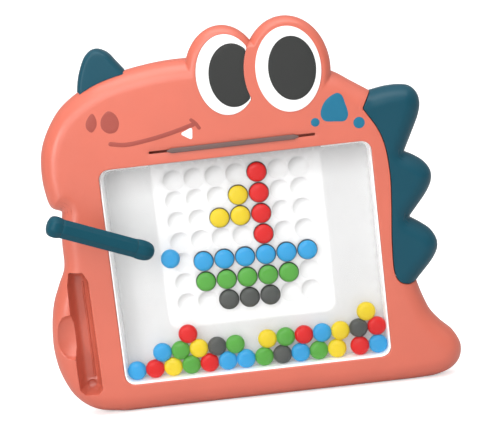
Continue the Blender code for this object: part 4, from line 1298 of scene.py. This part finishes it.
# ---------------------------------------------------------------- studio

def backdrop_paper():
    """Paper that looks bright white to the camera and throws only a little light back at the board."""
    nodes = Nodes(bpy.data.materials.new("backdrop_paper"))
    glow = nodes.spread(nodes.noise(3.0, 2.0), FLOOR_GLOW * 0.99, FLOOR_GLOW * 1.01)
    dull, white = (nodes.add("BsdfDiffuse", {"Color": (v, v, v, 1)}) for v in (FLOOR_GREY, FLOOR_WHITE))
    seen = nodes.add("AddShader", {0: white, 1: nodes.add("Emission", {"Strength": glow})})
    eye = nodes.add("LightPath", output="Is Camera Ray")
    return nodes.done(nodes.add("MixShader", {"Fac": eye, 1: dull, 2: seen}))


def surroundings():
    """An even studio that is darkest below and brightest above, and plain white to the camera."""
    nodes = Nodes(bpy.data.worlds.new("studio"))
    upwards = nodes.add("SeparateXYZ", {0: nodes.add("TexCoord", output="Generated")}, "Z")
    ramp = nodes.add("ValToRGB", {"Fac": nodes.spread(upwards, 0.0, 1.0, -1.0, 1.0)}, "Color")
    stops = ramp.node.color_ramp.elements
    stops.new(0.5)
    for stop, level in zip(stops, SURROUNDINGS):
        stop.color = (level, level, level, 1)
    seen = nodes.mixed(nodes.add("LightPath", output="Is Camera Ray"), ramp, (1, 1, 1))
    return nodes.done(nodes.add("Background", {"Color": seen}), "World")


def studio():
    """A floor that sweeps up into a wall behind the board, three soft lights and the surroundings."""
    profile = [(-FLOOR_REACH, 0.0)]
    for turn in np.linspace(0, math.pi / 2, 13):
        profile.append((WALL_DISTANCE + WALL_SWEEP * math.sin(turn), WALL_SWEEP * (1 - math.cos(turn))))
    profile.append((WALL_DISTANCE + WALL_SWEEP, WALL_HEIGHT))
    vertices = [(x, y, z + cad_box[0][2]) for y, z in profile for x in (-FLOOR_REACH, FLOOR_REACH)]
    faces = [(2 * k, 2 * k + 1, 2 * k + 3, 2 * k + 2) for k in range(len(profile) - 1)]
    backdrop = make_mesh("backdrop", np.array(vertices) / MM, faces)
    backdrop.data.materials.append(backdrop_paper())
    backdrop.data.shade_smooth()
    for name, place, size, power in LIGHTS:
        lamp = bpy.data.lights.new(name, "AREA")
        lamp.shape = "RECTANGLE"
        lamp.size, lamp.size_y = size
        lamp.energy = power
        light = linked(name, lamp)
        light.location = place
        light.rotation_euler = (Vector(LIGHT_TARGET) - Vector(place)).to_track_quat("-Z", "Y").to_euler()
    bpy.context.scene.world = surroundings()
    bpy.context.scene.view_settings.view_transform = "Standard"


def camera():
    """A long lens in front of the board, a little above it and rolled, so that the board leans."""
    azimuth, elevation, roll = (math.radians(a) for a in CAMERA_ANGLES)
    level = Vector((math.sin(azimuth), -math.cos(azimuth), 0)) * math.cos(elevation)
    away = level + Vector((0, 0, math.sin(elevation)))
    right = (-away).cross(Vector((0, 0, 1))).normalized()
    up = right.cross(-away)
    rolled_right = right * math.cos(roll) + up * math.sin(roll)
    rolled_up = up * math.cos(roll) - right * math.sin(roll)
    data = bpy.data.cameras.new("camera")
    data.lens = CAMERA_LENS
    made = linked("camera", data)
    place = Matrix((rolled_right, rolled_up, away)).transposed().to_4x4()
    place.translation = Vector(CAMERA_TARGET) * MM + away * CAMERA_DISTANCE
    made.matrix_world = place
    bpy.context.scene.camera = made


front_housing()
back_cover()
cover_screws()
horn_and_spikes()
eyes()
face_prints()
chamber_tray()
dimple_plate()
flat_sheet("window", "window_panel", WINDOW_CORNER - 1, "window", "root", 0.1, WINDOW_INSET)
flat_sheet("card", "pattern_card", CARD_CORNER, "card", "pattern_card", 0.2, longer=CARD_REACH)
card_tab()
beads()
pen()
studio()
camera()
